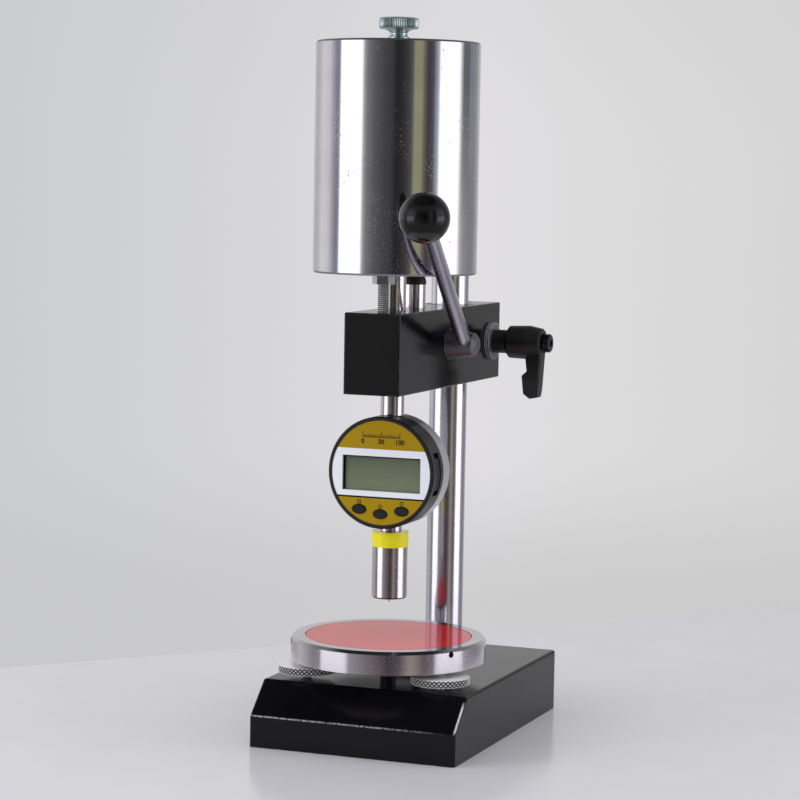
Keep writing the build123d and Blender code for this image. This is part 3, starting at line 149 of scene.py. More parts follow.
def make_scratches():
    """Thin marks at two slants, round specks, and patches of fine flecks."""
    labels = {"Place": None, "Scale": 60.0, "Share": 0.5}
    tree, given, out = group("scratches_and_specks", labels, ["Scratch", "Speck", "Fleck"])
    marks = []
    for slant, stretch in ((0.5, 9.0), (-1.1, 14.0)):
        inputs = {"Vector": given["Place"], "Rotation": (slant, 0.3, slant), "Scale": (1.0, 1.0, stretch)}
        turned = put(tree, "ShaderNodeMapping", inputs)
        cells = {"Vector": turned.outputs[0], "Scale": given["Scale"], "Detail": 2.0, "Distortion": 0.4}
        noise = put(tree, "ShaderNodeTexNoise", cells)
        off = calc(tree, "ABSOLUTE", calc(tree, "SUBTRACT", noise.outputs[0], 0.5))
        marks.append(spread(tree, off, 0.0, 0.006, 1.0, 0.0))
    area = put(tree, "ShaderNodeTexNoise", {"Vector": given["Place"], "Scale": 70.0, "Detail": 2.0})
    start = calc(tree, "SUBTRACT", 0.72, calc(tree, "MULTIPLY", given["Share"], 0.2))
    where = spread(tree, area.outputs[0], start, 0.75)
    both = calc(tree, "MAXIMUM", *marks)
    tree.links.new(calc(tree, "MULTIPLY", both, where, clamp=True), out.inputs["Scratch"])
    dots = put(tree, "ShaderNodeTexVoronoi", {"Vector": given["Place"], "Scale": 330.0, "Randomness": 1.0})
    size = put(tree, "ShaderNodeTexNoise", {"Vector": given["Place"], "Scale": 130.0, "Detail": 1.0})
    reach = spread(tree, size.outputs[0], 0.55, 0.8, 0.0, 0.28)
    near = calc(tree, "LESS_THAN", dots.outputs["Distance"], calc(tree, "MULTIPLY", reach, given["Share"]))
    tree.links.new(near, out.inputs["Speck"])
    pits = put(tree, "ShaderNodeTexNoise", {"Vector": given["Place"], "Scale": 1300.0, "Detail": 1.0})
    patches = put(tree, "ShaderNodeTexNoise", {"Vector": given["Place"], "Scale": 38.0, "Detail": 2.0})
    flecks = calc(tree, "MULTIPLY", spread(tree, pits.outputs[0], 0.64, 0.68),
                  spread(tree, patches.outputs[0], 0.50, 0.62))
    tree.links.new(calc(tree, "MULTIPLY", flecks, given["Share"], clamp=True), out.inputs["Fleck"])
    return tree


def make_turning():
    """Tool lines of a part turned about a vertical axis through the point Axis."""
    tree, given, out = group("turning_lines", {"Place": None, "Axis": None, "Pitch": 2200.0}, ["Line", "Band"])
    local = put(tree, "ShaderNodeVectorMath", {0: given["Place"], 1: given["Axis"]}, operation="SUBTRACT")
    parts = put(tree, "ShaderNodeSeparateXYZ", {0: local.outputs[0]})
    flat = put(tree, "ShaderNodeCombineXYZ", {0: parts.outputs[0], 1: parts.outputs[1]})
    radius = put(tree, "ShaderNodeVectorMath", {0: flat.outputs[0]}, operation="LENGTH").outputs["Value"]
    along = put(tree, "ShaderNodeCombineXYZ", {0: radius, 2: parts.outputs[2]})
    line = put(tree, "ShaderNodeTexNoise", {"Vector": along.outputs[0], "Scale": given["Pitch"], "Detail": 2.0})
    band = put(tree, "ShaderNodeTexNoise", {"Vector": along.outputs[0], "Scale": 90.0, "Detail": 3.0})
    tree.links.new(spread(tree, line.outputs[0], 0.3, 0.7), out.inputs["Line"])
    tree.links.new(spread(tree, band.outputs[0], 0.35, 0.65), out.inputs["Band"])
    return tree


def make_dust():
    """Fine dust where a face looks up."""
    tree, given, out = group("settled_dust", {"Place": None, "Amount": 0.3}, ["Mask"])
    upward = put(tree, "ShaderNodeSeparateXYZ", {0: put(tree, "ShaderNodeNewGeometry").outputs["Normal"]})
    lift = spread(tree, upward.outputs[2], 0.2, 0.95)
    grains = put(tree, "ShaderNodeTexNoise", {"Vector": given["Place"], "Scale": 1500.0, "Detail": 2.0})
    patch = put(tree, "ShaderNodeTexNoise", {"Vector": given["Place"], "Scale": 45.0, "Detail": 3.0})
    cover = calc(tree, "MULTIPLY", spread(tree, grains.outputs[0], 0.5, 0.75),
                 spread(tree, patch.outputs[0], 0.3, 0.8))
    share = calc(tree, "MULTIPLY", calc(tree, "MULTIPLY", cover, lift), given["Amount"], clamp=True)
    tree.links.new(share, out.inputs["Mask"])
    return tree


grain = make_grain()
edge_wear_and_highlight = make_edge_wear_and_highlight()
scratches = make_scratches()
turning = make_turning()
dust = make_dust()


# ==== materials ====
def start_material(name):
    """A new material with its tree, its shader and the place on the object."""
    made = bpy.data.materials.new(name)
    made.use_nodes = True
    tree = made.node_tree
    shader = tree.nodes["Principled BSDF"]
    place = put(tree, "ShaderNodeTexCoord").outputs["Object"]
    return made, tree, shader, place


def effect(tree, shared, **values):
    """Adds a shared effect. Its inputs are given by name, in small letters."""
    made = put(tree, "ShaderNodeGroup", node_tree=shared)
    for key, value in values.items():
        socket = made.inputs[key.replace("_", " ").capitalize()]
        if isinstance(value, bpy.types.NodeSocket):
            tree.links.new(value, socket)
        else:
            socket.default_value = value
    return made.outputs


def bump(tree, shader, height, strength, depth):
    node = put(tree, "ShaderNodeBump", {"Height": height, "Strength": strength, "Distance": depth})
    tree.links.new(node.outputs[0], shader.inputs["Normal"])


def coat_finish(name, base, cloudy, rough, rough_more, fine=900.0, relief=0.15, depth=0.00002,
                wear_and_highlight=None, width=0.0005, edge_start=0.5, dusty=0.25, specular=0.5, rubbed_and_lit=None):
    """Paint, plastic or rubber: cloudy colour, fine relief, lighter edges, dust.
    wear_and_highlight is the lighter colour of its edges, partly paint wear and partly a painted highlight, and
    rubbed_and_lit adds a mask of other such spots to them."""
    made, tree, shader, place = start_material(name)
    body = effect(tree, grain, place=place, fine_scale=fine)
    colour = blend_colours(tree, body["Cloud"], base, cloudy)
    marks = effect(tree, scratches, place=place, scale=60.0, share=0.35)
    # lighter edges: paint wear together with a painted highlight
    if wear_and_highlight:
        mask = effect(tree, edge_wear_and_highlight, place=place, width=width, start=edge_start)["Mask"]
        if rubbed_and_lit:
            mask = calc(tree, "MAXIMUM", mask, rubbed_and_lit(tree, place))
        colour = blend_colours(tree, mask, colour, wear_and_highlight)
    dusted = effect(tree, dust, place=place, amount=dusty)["Mask"]
    colour = blend_colours(tree, dusted, colour, hue(150, 146, 150))
    tree.links.new(colour, shader.inputs["Base Color"])
    roughness = spread(tree, body["Fine"], 0.0, 1.0, rough, rough_more)
    roughness = calc(tree, "ADD", roughness, calc(tree, "MULTIPLY", marks["Scratch"], 0.03), clamp=True)
    tree.links.new(roughness, shader.inputs["Roughness"])
    shader.inputs["Specular IOR Level"].default_value = specular
    bump(tree, shader, body["Fine"], relief, depth)
    return made


def metal_finish(name, base, cloudy, rough, rough_more, axis=None, pitch=2200.0, relief=0.1, fine=1200.0,
                 specks=0.4, slant_shade=None, rim=None, groove=None, metallic=1.0, scratch_scale=45.0):
    """Bare or plated metal: turning lines about an axis if it has one, else fine grain.
    slant_shade is the darker colour painted on its slanted faces as shade, which are also made rougher; rim is
    the lighter colour of its edges, a painted highlight with some wear;
    and groove is the dark colour painted as shade between its crests."""
    made, tree, shader, place = start_material(name)
    body = effect(tree, grain, place=place, fine_scale=fine)
    marks = effect(tree, scratches, place=place, scale=scratch_scale, share=specks)
    if axis:
        lines = effect(tree, turning, place=place, axis=axis, pitch=pitch)
        half_cloud = calc(tree, "MULTIPLY", body["Cloud"], 0.5)
        share = calc(tree, "ADD", half_cloud, calc(tree, "MULTIPLY", lines["Band"], 0.5))
        height = lines["Line"]
    else:
        share = body["Cloud"]
        height = body["Fine"]
    colour = blend_colours(tree, share, base, cloudy)
    roughness = spread(tree, height, 0.0, 1.0, rough, rough_more)
    roughness = calc(tree, "ADD", roughness, calc(tree, "MULTIPLY", marks["Scratch"], 0.12))
    nicks = calc(tree, "MAXIMUM", marks["Speck"], marks["Fleck"])
    roughness = calc(tree, "ADD", roughness, calc(tree, "MULTIPLY", nicks, 0.45), clamp=True)
    # slanted faces: a painted shade, and a rougher finish
    if slant_shade:
        facing = put(tree, "ShaderNodeNewGeometry").outputs["True Normal"]
        tilt = calc(tree, "ABSOLUTE", put(tree, "ShaderNodeSeparateXYZ", {0: facing}).outputs[2])
        shaded_slant = calc(tree, "MULTIPLY", spread(tree, tilt, 0.2, 0.4), spread(tree, tilt, 0.9, 0.98, 1.0, 0.0))
        colour = blend_colours(tree, shaded_slant, colour, slant_shade)
        roughness = calc(tree, "MAXIMUM", roughness, calc(tree, "MULTIPLY", shaded_slant, 0.55))
    # painted highlight along the edges, with some wear
    if rim:
        edge_highlight = effect(tree, edge_wear_and_highlight, place=place, width=0.0005, start=0.2)["Mask"]
        colour = blend_colours(tree, edge_highlight, colour, rim)
    # painted shade between the crests of knurls and threads
    if groove:
        crest = put(tree, "ShaderNodeAttribute", attribute_name="crest").outputs["Fac"]
        colour = blend_colours(tree, spread(tree, crest, 0.15, 0.75), groove, colour)
    tree.links.new(colour, shader.inputs["Base Color"])
    shader.inputs["Metallic"].default_value = metallic
    tree.links.new(roughness, shader.inputs["Roughness"])
    bump(tree, shader, height, relief, 0.00001)
    return made


def middle(node):
    """Middle of a node's box."""
    low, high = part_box(node)
    return (low + high) / 2


def apply_finish(material, *nodes):
    """Gives the part's own pieces their material."""
    for node in nodes:
        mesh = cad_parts[node].data
        if not mesh.materials:
            mesh.materials.append(material)
        for index in range(len(mesh.materials)):
            mesh.materials[index] = material


spindle_axis = middle("spindle")
column_axis = middle("column")

# Paint wear and painted highlight on the base's edges: each pair is the reach over which the mark comes or
# goes.
BASE_LOW, BASE_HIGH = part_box("base_plate")
FOLD_HEIGHT = 16.0 * MM
FOLD_BAND = (0.2 * MM, 0.5 * MM)
FOLD_FACE = (BASE_LOW.y + 1.2 * MM, BASE_LOW.y + 0.6 * MM)
FOLD_END = (10 * MM, 48 * MM)
CORNER_INNER = (BASE_HIGH.x - 1.35 * MM, BASE_HIGH.x - 0.95 * MM)
CORNER_OUTER = (BASE_HIGH.x - 0.5 * MM, BASE_HIGH.x - 0.15 * MM)
CORNER_REAR = (BASE_LOW.y + 15 * MM, BASE_LOW.y + 12 * MM)
CORNER_FOOT = (FOLD_HEIGHT, FOLD_HEIGHT + 1.5 * MM)


def fold_wear_and_highlight(tree, place):
    """Lighter dots along the fold under the slope, and down the right edge of the slope: paint wear together
    with a painted highlight on these edges.
    """
    x, y, z = put(tree, "ShaderNodeSeparateXYZ", {0: place}).outputs
    dots = put(tree, "ShaderNodeTexNoise", {"Vector": place, "Scale": 1100.0, "Detail": 2.0}).outputs[0]
    from_fold = calc(tree, "ABSOLUTE", calc(tree, "SUBTRACT", z, FOLD_HEIGHT))
    fold = calc(tree, "MULTIPLY", spread(tree, from_fold, *FOLD_BAND, 1.0, 0.0), spread(tree, y, *FOLD_FACE))
    fold = calc(tree, "MULTIPLY", fold, spread(tree, x, *FOLD_END, 1.0, 0.0))
    fold = calc(tree, "MULTIPLY", fold, spread(tree, dots, 0.40, 0.58, 0.05, 0.62))
    corner = calc(tree, "MULTIPLY", spread(tree, x, *CORNER_INNER), spread(tree, x, *CORNER_OUTER, 1.0, 0.0))
    corner = calc(tree, "MULTIPLY", corner, spread(tree, y, *CORNER_REAR))
    corner = calc(tree, "MULTIPLY", corner, spread(tree, z, *CORNER_FOOT))
    corner = calc(tree, "MULTIPLY", corner, spread(tree, dots, 0.30, 0.42, 0.5, 1.0))
    return calc(tree, "MAXIMUM", fold, corner)


enamel = coat_finish("black_enamel", hue(7, 6, 9), hue(11, 10, 14), 0.10, 0.17, fine=420.0, relief=0.04,
                     depth=0.00003, wear_and_highlight=hue(196, 192, 198), width=0.0006, edge_start=0.50, dusty=0.03,
                     specular=0.24, rubbed_and_lit=fold_wear_and_highlight)
# the arm's lighter edges are mostly a painted highlight of its rounded edges
arm_enamel = coat_finish("arm_enamel", hue(5, 5, 6), hue(9, 8, 10), 0.13, 0.20, fine=420.0, relief=0.05,
                         depth=0.00004, wear_and_highlight=hue(190, 186, 192), width=0.0007, edge_start=0.40, dusty=0.04,
                         specular=0.34)
satin_black = coat_finish("black_satin", hue(15, 14, 15), hue(24, 22, 24), 0.36, 0.50, fine=900.0, relief=0.2,
                          wear_and_highlight=hue(110, 108, 112), width=0.0004, edge_start=0.58)
rubber = coat_finish("black_rubber", hue(14, 14, 15), hue(22, 21, 23), 0.42, 0.58, fine=700.0, relief=0.2)
resin = coat_finish("black_resin", hue(7, 7, 9), hue(10, 9, 12), 0.10, 0.16, fine=300.0, relief=0.02)
plastic = coat_finish("black_plastic", hue(9, 9, 11), hue(14, 14, 17), 0.26, 0.36, fine=1500.0, relief=0.12,
                      wear_and_highlight=hue(60, 58, 64), width=0.0003, edge_start=0.5)
red = coat_finish("red_lacquer", hue(184, 16, 30), hue(194, 24, 38), 0.07, 0.13, fine=260.0, relief=0.03,
                  depth=0.00003, dusty=0.12)
key_moulding = coat_finish("key_plastic", hue(11, 12, 17), hue(16, 17, 24), 0.22, 0.32, fine=1400.0,
                           relief=0.08)
board_green = coat_finish("circuit_green", hue(22, 92, 54), hue(14, 74, 42), 0.3, 0.42, fine=1200.0)

chrome = metal_finish("hard_chrome", hue(214, 213, 220), hue(203, 202, 211), 0.13, 0.18, axis=column_axis,
                      pitch=2600.0, relief=0.04, specks=0.35)
neck_chrome = metal_finish("neck_chrome", hue(214, 209, 210), hue(196, 190, 192), 0.09, 0.14, axis=spindle_axis,
                           pitch=1400.0, relief=0.05, specks=0.6, slant_shade=hue(112, 108, 110))
turned = metal_finish("turned_steel", hue(208, 206, 210), hue(198, 195, 202), 0.05, 0.09, axis=spindle_axis,
                      pitch=2400.0, relief=0.05, specks=0.9, slant_shade=hue(176, 176, 182), scratch_scale=120.0)
satin = metal_finish("satin_steel", hue(216, 211, 216), hue(200, 194, 202), 0.09, 0.13, axis=spindle_axis,
                     pitch=1800.0, relief=0.03, specks=0.5)
rod_steel = metal_finish("rod_steel", hue(186, 182, 196), hue(172, 168, 184), 0.18, 0.27, relief=0.1,
                         specks=0.5)
# the groove colours of the zinc parts are painted shade in their knurl and thread grooves
zinc = metal_finish("zinc_plate", hue(216, 230, 230), hue(186, 204, 212), 0.20, 0.30, fine=700.0, relief=0.05,
                    specks=0.5, groove=hue(110, 126, 134))
stud_zinc = metal_finish("stud_zinc", hue(224, 228, 224), hue(206, 212, 206), 0.20, 0.28, fine=700.0,
                         relief=0.05, specks=0.5, groove=hue(120, 126, 124), metallic=0.6)
knurl_zinc = metal_finish("knurl_zinc", hue(250, 250, 252), hue(240, 240, 244), 0.30, 0.42, fine=700.0,
                          relief=0.05, specks=0.5, groove=hue(16, 16, 18), metallic=0.45)
nut_zinc = metal_finish("nut_zinc", hue(186, 188, 190), hue(164, 166, 170), 0.20, 0.30, relief=0.06, specks=0.5,
                        rim=hue(226, 228, 232))
hub_steel = metal_finish("hub_steel", hue(132, 132, 140), hue(114, 114, 124), 0.40, 0.50, relief=0.05,
                         specks=0.6, rim=hue(206, 204, 210))
washer_steel = metal_finish("washer_steel", hue(110, 110, 114), hue(88, 88, 94), 0.24, 0.34, relief=0.06,
                            rim=hue(252, 252, 254), metallic=0.25)
sintered = metal_finish("sintered_bush", hue(128, 120, 112), hue(108, 102, 96), 0.34, 0.46, fine=900.0,
                        relief=0.1)
dark_metal = metal_finish("dark_steel", hue(74, 72, 76), hue(54, 52, 58), 0.30, 0.42, fine=800.0, relief=0.2)
spring_metal = metal_finish("spring_steel", hue(150, 150, 156), hue(120, 120, 128), 0.22, 0.34)
bush_bronze = metal_finish("bronze", hue(186, 142, 84), hue(160, 118, 66), 0.24, 0.36, axis=spindle_axis)
shell = metal_finish("shell_metal", hue(238, 238, 242), hue(228, 228, 234), 0.30, 0.40, fine=1600.0,
                     relief=0.08, rim=hue(244, 244, 248))
cell = metal_finish("cell_steel", hue(200, 200, 200), hue(184, 184, 186), 0.2, 0.3)

apply_finish(enamel, "base_plate")
apply_finish(arm_enamel, "arm_block")
apply_finish(chrome, "column")
apply_finish(satin, "anvil_ring")
apply_finish(red, "anvil_disc")
apply_finish(turned, "weight")
apply_finish(hub_steel, "lever_shaft")
apply_finish(neck_chrome, "spindle", "presser_foot", "indenter", "lifter")
apply_finish(rod_steel, "lever_rod")
apply_finish(nut_zinc, "thumb_washer", "lock_nut", "stop_nut", "clamp_screw")
apply_finish(washer_steel, "clamp_washers")
apply_finish(dark_metal, "column_washer", "column_screw", "disc_grub_screws", "table_screw", "table_washer",
             "handle_screw", "pinion", "pinion_key", "back_screws")
apply_finish(spring_metal, "table_springs", "return_spring", "cover_ring", "handle_spring", "indenter_spring",
             "button_domes")
apply_finish(bush_bronze, "spindle_bush_lower", "spindle_bush_upper", "shaft_bush")
apply_finish(sintered, "column_bush")
apply_finish(satin_black, "clamp_handle", "spring_cover")
apply_finish(rubber, "lifter_cap", "port_cover")
apply_finish(resin, "ball_knob")
apply_finish(plastic, "gauge_case", "sensor_head")
apply_finish(shell, "gauge_back")
apply_finish(board_green, "circuit_board")
apply_finish(cell, "battery")
apply_finish(key_moulding, "button_left", "button_middle", "button_right")

# ---- printed face: gold with a pale band across the display ----
GAUGE_Z = middle("face_plate").z
FACE_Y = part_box("face_plate")[0].y
BAND_TOP = 11.9 * MM
BAND_FOOT = -12.2 * MM
BAND_LINE = 0.9 * MM


def make_printed_face():
    made, tree, shader, place = start_material("printed_face")
    height = calc(tree, "SUBTRACT", put(tree, "ShaderNodeSeparateXYZ", {0: place}).outputs[2], GAUGE_Z)
    body = effect(tree, grain, place=place, fine_scale=1600.0)
    gold = blend_colours(tree, body["Cloud"], hue(160, 131, 0), hue(151, 123, 0))
    pale = blend_colours(tree, body["Cloud"], hue(228, 229, 238), hue(219, 220, 230))
    above_foot = calc(tree, "GREATER_THAN", height, BAND_FOOT)
    in_band = calc(tree, "MULTIPLY", above_foot, calc(tree, "LESS_THAN", height, BAND_TOP))
    above_line = calc(tree, "GREATER_THAN", height, BAND_FOOT - BAND_LINE)
    in_line = calc(tree, "MULTIPLY", above_line, calc(tree, "LESS_THAN", height, BAND_FOOT))
    colour = blend_colours(tree, in_band, gold, pale)
    colour = blend_colours(tree, in_line, colour, grey(24))
    tree.links.new(colour, shader.inputs["Base Color"])
    tree.links.new(spread(tree, body["Fine"], 0.0, 1.0, 0.30, 0.42), shader.inputs["Roughness"])
    shader.inputs["Specular IOR Level"].default_value = 0.22
    bump(tree, shader, body["Fine"], 0.05, 0.00001)
    return made


SCREEN_LEFT = -20.9 * MM
SCREEN_TOP = 8.25 * MM
SCREEN_SHADE = 9.0 * MM  # reach up and down over which the display darkens


def make_display():
    made, tree, shader, place = start_material("display")
    height = calc(tree, "SUBTRACT", put(tree, "ShaderNodeSeparateXYZ", {0: place}).outputs[2], GAUGE_Z)
    body = effect(tree, grain, place=place, fine_scale=2200.0)
    fade = spread(tree, height, -SCREEN_SHADE, SCREEN_SHADE, smooth=True)
    colour = blend_colours(tree, fade, hue(122, 130, 106), hue(104, 112, 92))
    colour = blend_colours(tree, calc(tree, "MULTIPLY", body["Fine"], 0.12), colour, hue(80, 86, 70))
    # painted shadow of the recess walls: a dark strip on the left and above
    across = put(tree, "ShaderNodeSeparateXYZ", {0: place}).outputs[0]
    left = spread(tree, across, SCREEN_LEFT + 0.5 * MM, SCREEN_LEFT + 1.6 * MM, 1.0, 0.0, smooth=True)
    above = spread(tree, height, SCREEN_TOP - 1.2 * MM, SCREEN_TOP - 0.4 * MM, smooth=True)
    colour = blend_colours(tree, calc(tree, "MAXIMUM", left, above), colour, hue(16, 17, 15))
    tree.links.new(colour, shader.inputs["Base Color"])
    tree.links.new(spread(tree, body["Fine"], 0.0, 1.0, 0.28, 0.38), shader.inputs["Roughness"])
    bump(tree, shader, body["Fine"], 0.03, 0.00001)
    return made


def make_window():
    made, tree, shader, place = start_material("clear_window")
    body = effect(tree, grain, place=place, fine_scale=900.0)
    tree.links.new(blend_colours(tree, body["Cloud"], grey(246), grey(238)), shader.inputs["Base Color"])
    tree.links.new(spread(tree, body["Fine"], 0.0, 1.0, 0.01, 0.05), shader.inputs["Roughness"])
    shader.inputs["Transmission Weight"].default_value = 1.0
    shader.inputs["IOR"].default_value = 1.12
    # light passes straight through to the display
    path = put(tree, "ShaderNodeLightPath")
    passing = calc(tree, "MAXIMUM", path.outputs["Is Shadow Ray"], path.outputs["Is Diffuse Ray"])
    clear = put(tree, "ShaderNodeBsdfTransparent")
    mixed = put(tree, "ShaderNodeMixShader", {0: passing, 1: shader.outputs[0], 2: clear.outputs[0]})
    tree.links.new(mixed.outputs[0], tree.nodes["Material Output"].inputs["Surface"])
    return made


def make_film():
    made, tree, shader, place = start_material("yellow_film")
    body = effect(tree, grain, place=place, fine_scale=1500.0)
    colour = blend_colours(tree, body["Cloud"], hue(233, 223, 0), hue(225, 213, 0))
    tree.links.new(colour, shader.inputs["Base Color"])
    tree.links.new(spread(tree, body["Fine"], 0.0, 1.0, 0.28, 0.40), shader.inputs["Roughness"])
    bump(tree, shader, body["Fine"], 0.06, 0.00001)
    return made


apply_finish(make_printed_face(), "face_plate")
apply_finish(make_display(), "lcd_panel")
apply_finish(make_window(), "lcd_window")
apply_finish(make_film(), "foot_label")


# ==== fine pieces ====
SHARP_ANGLE = 30.0
KNURL_CLIMB = 1.5        # teeth that a diamond line crosses from foot to top
KNURL_BANDS = 12
RIM_TEETH = 40
RIM_DEPTH = 0.75 * MM
RIM_FOOT = 35.0 * MM
RIM_TOP = 39.0 * MM
RIM_EDGE = 0.4 * MM
TIP_CONE = 2.0 * MM
TIP_RADIUS = 4.0 * MM
TIP_FLAT = 2.0 * MM
SHANK_RADIUS = 2.5 * MM  # the 5 mm thread of the knurled screws
SHANK_GROOVE = 0.35 * MM
SHANK_PITCH = 0.8 * MM
SHANK_STEPS = 48
SHANK_ROWS = 6           # rows of the thread in each turn
SEAT = 0.5 * MM          # depth to which a shank stands in its head


def add_mesh(name, shape, material, body):
    """Turns a shape into an object that rides on a body, smooth but for its sharp edges."""
    mesh = bpy.data.meshes.new(name)
    shape.normal_update()
    shape.to_mesh(mesh)
    shape.free()
    mesh.materials.append(material)
    made = bpy.data.objects.new(name, mesh)
    scene.collection.objects.link(made)
    mesh.polygons.foreach_set("use_smooth", [True] * len(mesh.polygons))
    mesh.set_sharp_from_angle(angle=radians(SHARP_ANGLE))
    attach(made, body)
    return made


def mark_crests(made, centre, ranges):
    """Stores how far each point of a knurl or thread stands out, for the painted shade in its grooves.
    Each range is (lowest height, highest height, root radius, crest radius)."""
    layer = made.data.attributes.new("crest", "FLOAT", "POINT")
    for index, vertex in enumerate(made.data.vertices):
        radius = (vertex.co.xy - centre.xy).length
        share = 1.0
        for bottom, top, root, crest in ranges:
            if bottom <= vertex.co.z <= top:
                share = max(0.0, min(1.0, (radius - root) / (crest - root)))
        layer.data[index].value = share


def turned_skin(shape, centre, steps, rows):
    """Closed skin about a vertical axis. Each row is a height with a radius, or with a function
    that gives the radius at an angle."""
    rings = []
    for height, radii in rows:
        ring = []
        for step in range(steps):
            angle = 2 * pi * step / steps
            radius = radii(angle) if callable(radii) else radii
            point = (centre[0] + radius * cos(angle), centre[1] + radius * sin(angle), height)
            ring.append(shape.verts.new(point))
        rings.append(ring)
    for lower, upper in zip(rings, rings[1:]):
        for step in range(steps):
            after = (step + 1) % steps
            shape.faces.new((lower[step], lower[after], upper[after], upper[step]))
    shape.faces.new(list(reversed(rings[0])))
    shape.faces.new(rings[-1])


def thread_rows(radius, depth, pitch, bottom, top, per_turn=8):
    """Rows of a threaded shank: the groove climbs one pitch each turn round."""
    rows = []
    count = max(2, round((top - bottom) / pitch * per_turn))
    for row in range(count + 1):
        height = bottom + (top - bottom) * row / count
        fade = min(1.0, row / per_turn, (count - row) / per_turn)

        def groove(angle, height=height, fade=fade):
            phase = (height / pitch - angle / (2 * pi)) % 1.0
            return radius - depth * (fade * abs(2 * phase - 1) + (1 - fade))
        rows.append((height, groove))
    return rows


def diamond_knurl(radius, bottom, top, teeth, depth):
    """Rows of a rim with crossed knurling and broken corners."""
    edge = RIM_EDGE
    rows = [(bottom, radius - 3 * edge), (bottom + edge / 2, radius - 1.2 * edge)]
    for band in range(KNURL_BANDS + 1):
        level = bottom + edge + (top - bottom - 2 * edge) * band / KNURL_BANDS

        def diamond(angle, band=band):
            across = teeth * angle / (2 * pi)
            climb = KNURL_CLIMB * band / KNURL_BANDS
            first = abs(2 * ((across + climb) % 1.0) - 1)
            second = abs(2 * ((across - climb) % 1.0) - 1)
            return radius - depth * (1 - min(first, second))
        rows.append((level, diamond))
    return rows + [(top - edge / 2, radius - 1.2 * edge), (top, radius - 3 * edge)]


def straight_knurl(radius, bottom, top, teeth, depth):
    """Rows of a rim with upright knurling and rounded corners."""
    edge = THUMB_EDGE

    def upright(angle):
        return radius - depth * abs(2 * ((teeth * angle / (2 * pi)) % 1.0) - 1)

    def corner(angle):
        return radius - 0.45 * edge - 0.4 * depth * abs(2 * ((teeth * angle / (2 * pi)) % 1.0) - 1)
    return [(bottom, radius - 1.6 * edge), (bottom + 0.35 * edge, corner), (bottom + edge, upright),
            (top - edge, upright), (top - 0.35 * edge, corner), (top, radius - 1.6 * edge)]


def shank_rows(bottom, top):
    """Rows of the 5 mm thread."""
    return thread_rows(SHANK_RADIUS, SHANK_GROOVE, SHANK_PITCH, bottom, top, per_turn=SHANK_ROWS)


# ---- levelling screws: coned tip, diamond knurl, thread ----
for side in ("right", "left", "rear"):
    low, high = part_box(f"levelling_screw_{side}")
    centre = (low + high) / 2
    rim = (high.x - low.x) / 2
    rows = [(low.z, TIP_FLAT), (low.z + TIP_CONE, TIP_RADIUS), (RIM_FOOT, TIP_RADIUS)]
    rows += diamond_knurl(rim, RIM_FOOT, RIM_TOP, RIM_TEETH, RIM_DEPTH)
    shape = bmesh.new()
    turned_skin(shape, centre, RIM_TEETH * 8, rows)
    turned_skin(shape, centre, SHANK_STEPS, shank_rows(RIM_TOP - SEAT, high.z))
    screw = add_mesh(f"levelling_knob_{side}", shape, knurl_zinc, f"levelling_{side}")
    mark_crests(screw, centre, [(RIM_FOOT + 0.3 * MM, RIM_TOP - 0.3 * MM, rim - RIM_DEPTH, rim),
                                (RIM_TOP + 0.1 * MM, high.z, SHANK_RADIUS - SHANK_GROOVE, SHANK_RADIUS)])
    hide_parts(f"levelling_screw_{side}")

# ---- thumb screw: straight knurl over a waisted neck ----
low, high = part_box("thumb_screw")
THUMB_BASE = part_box("thumb_washer")[1].z
HEAD_FOOT = high.z - 5.8 * MM
THUMB_RADIUS = (high.x - low.x) / 2
NECK_RADIUS = 4.4 * MM
THUMB_TEETH = 72
THUMB_DEPTH = 0.24 * MM
THUMB_EDGE = 0.9 * MM
COLLAR_RADIUS = 5.6 * MM
WAIST_FOOT = THUMB_BASE + 1.4 * MM
WAIST_ROWS = 16
HEAD_FLARE = 3.4 * MM
FLARE_START = 0.42  # share of the waist's height
rows = [(THUMB_BASE, COLLAR_RADIUS - 0.3 * MM), (THUMB_BASE + 0.3 * MM, COLLAR_RADIUS),
        (THUMB_BASE + 1.2 * MM, COLLAR_RADIUS)]
for row in range(WAIST_ROWS + 1):
    share = row / WAIST_ROWS
    waist = NECK_RADIUS + (COLLAR_RADIUS - 0.2 * MM - NECK_RADIUS) * max(0.0, 1 - 3 * share) ** 2
    waist += HEAD_FLARE * max(0.0, (share - FLARE_START) / (1 - FLARE_START)) ** 2.4
    rows.append((WAIST_FOOT + (HEAD_FOOT - WAIST_FOOT) * share, waist))
rows += straight_knurl(THUMB_RADIUS, HEAD_FOOT, high.z, THUMB_TEETH, THUMB_DEPTH)
shape = bmesh.new()
turned_skin(shape, spindle_axis, THUMB_TEETH * 6, rows)
turned_skin(shape, spindle_axis, SHANK_STEPS, shank_rows(low.z, THUMB_BASE + SEAT))
thumb = add_mesh("thumb_knob", shape, zinc, "thumb")
knurl_foot, knurl_top = HEAD_FOOT + 0.5 * MM, high.z - 0.5 * MM
mark_crests(thumb, spindle_axis, [(knurl_foot, knurl_top, THUMB_RADIUS - THUMB_DEPTH, THUMB_RADIUS)])
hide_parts("thumb_screw")

# ---- guide stud with its full thread ----
low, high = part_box("guide_stud")
STUD_RADIUS = 3.0 * MM
STUD_GROOVE = 0.42 * MM
STUD_PITCH = 1.0 * MM
STUD_POINT = 2.4 * MM
STUD_STEPS = 64
rows = [(low.z, STUD_POINT)] + thread_rows(STUD_RADIUS, STUD_GROOVE, STUD_PITCH, low.z + 0.3 * MM, high.z)
shape = bmesh.new()
turned_skin(shape, (low + high) / 2, STUD_STEPS, rows)
stud = add_mesh("guide_thread", shape, stud_zinc, "load")
mark_crests(stud, (low + high) / 2, [(low.z + 0.4 * MM, high.z, STUD_RADIUS - STUD_GROOVE, STUD_RADIUS)])
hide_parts("guide_stud")

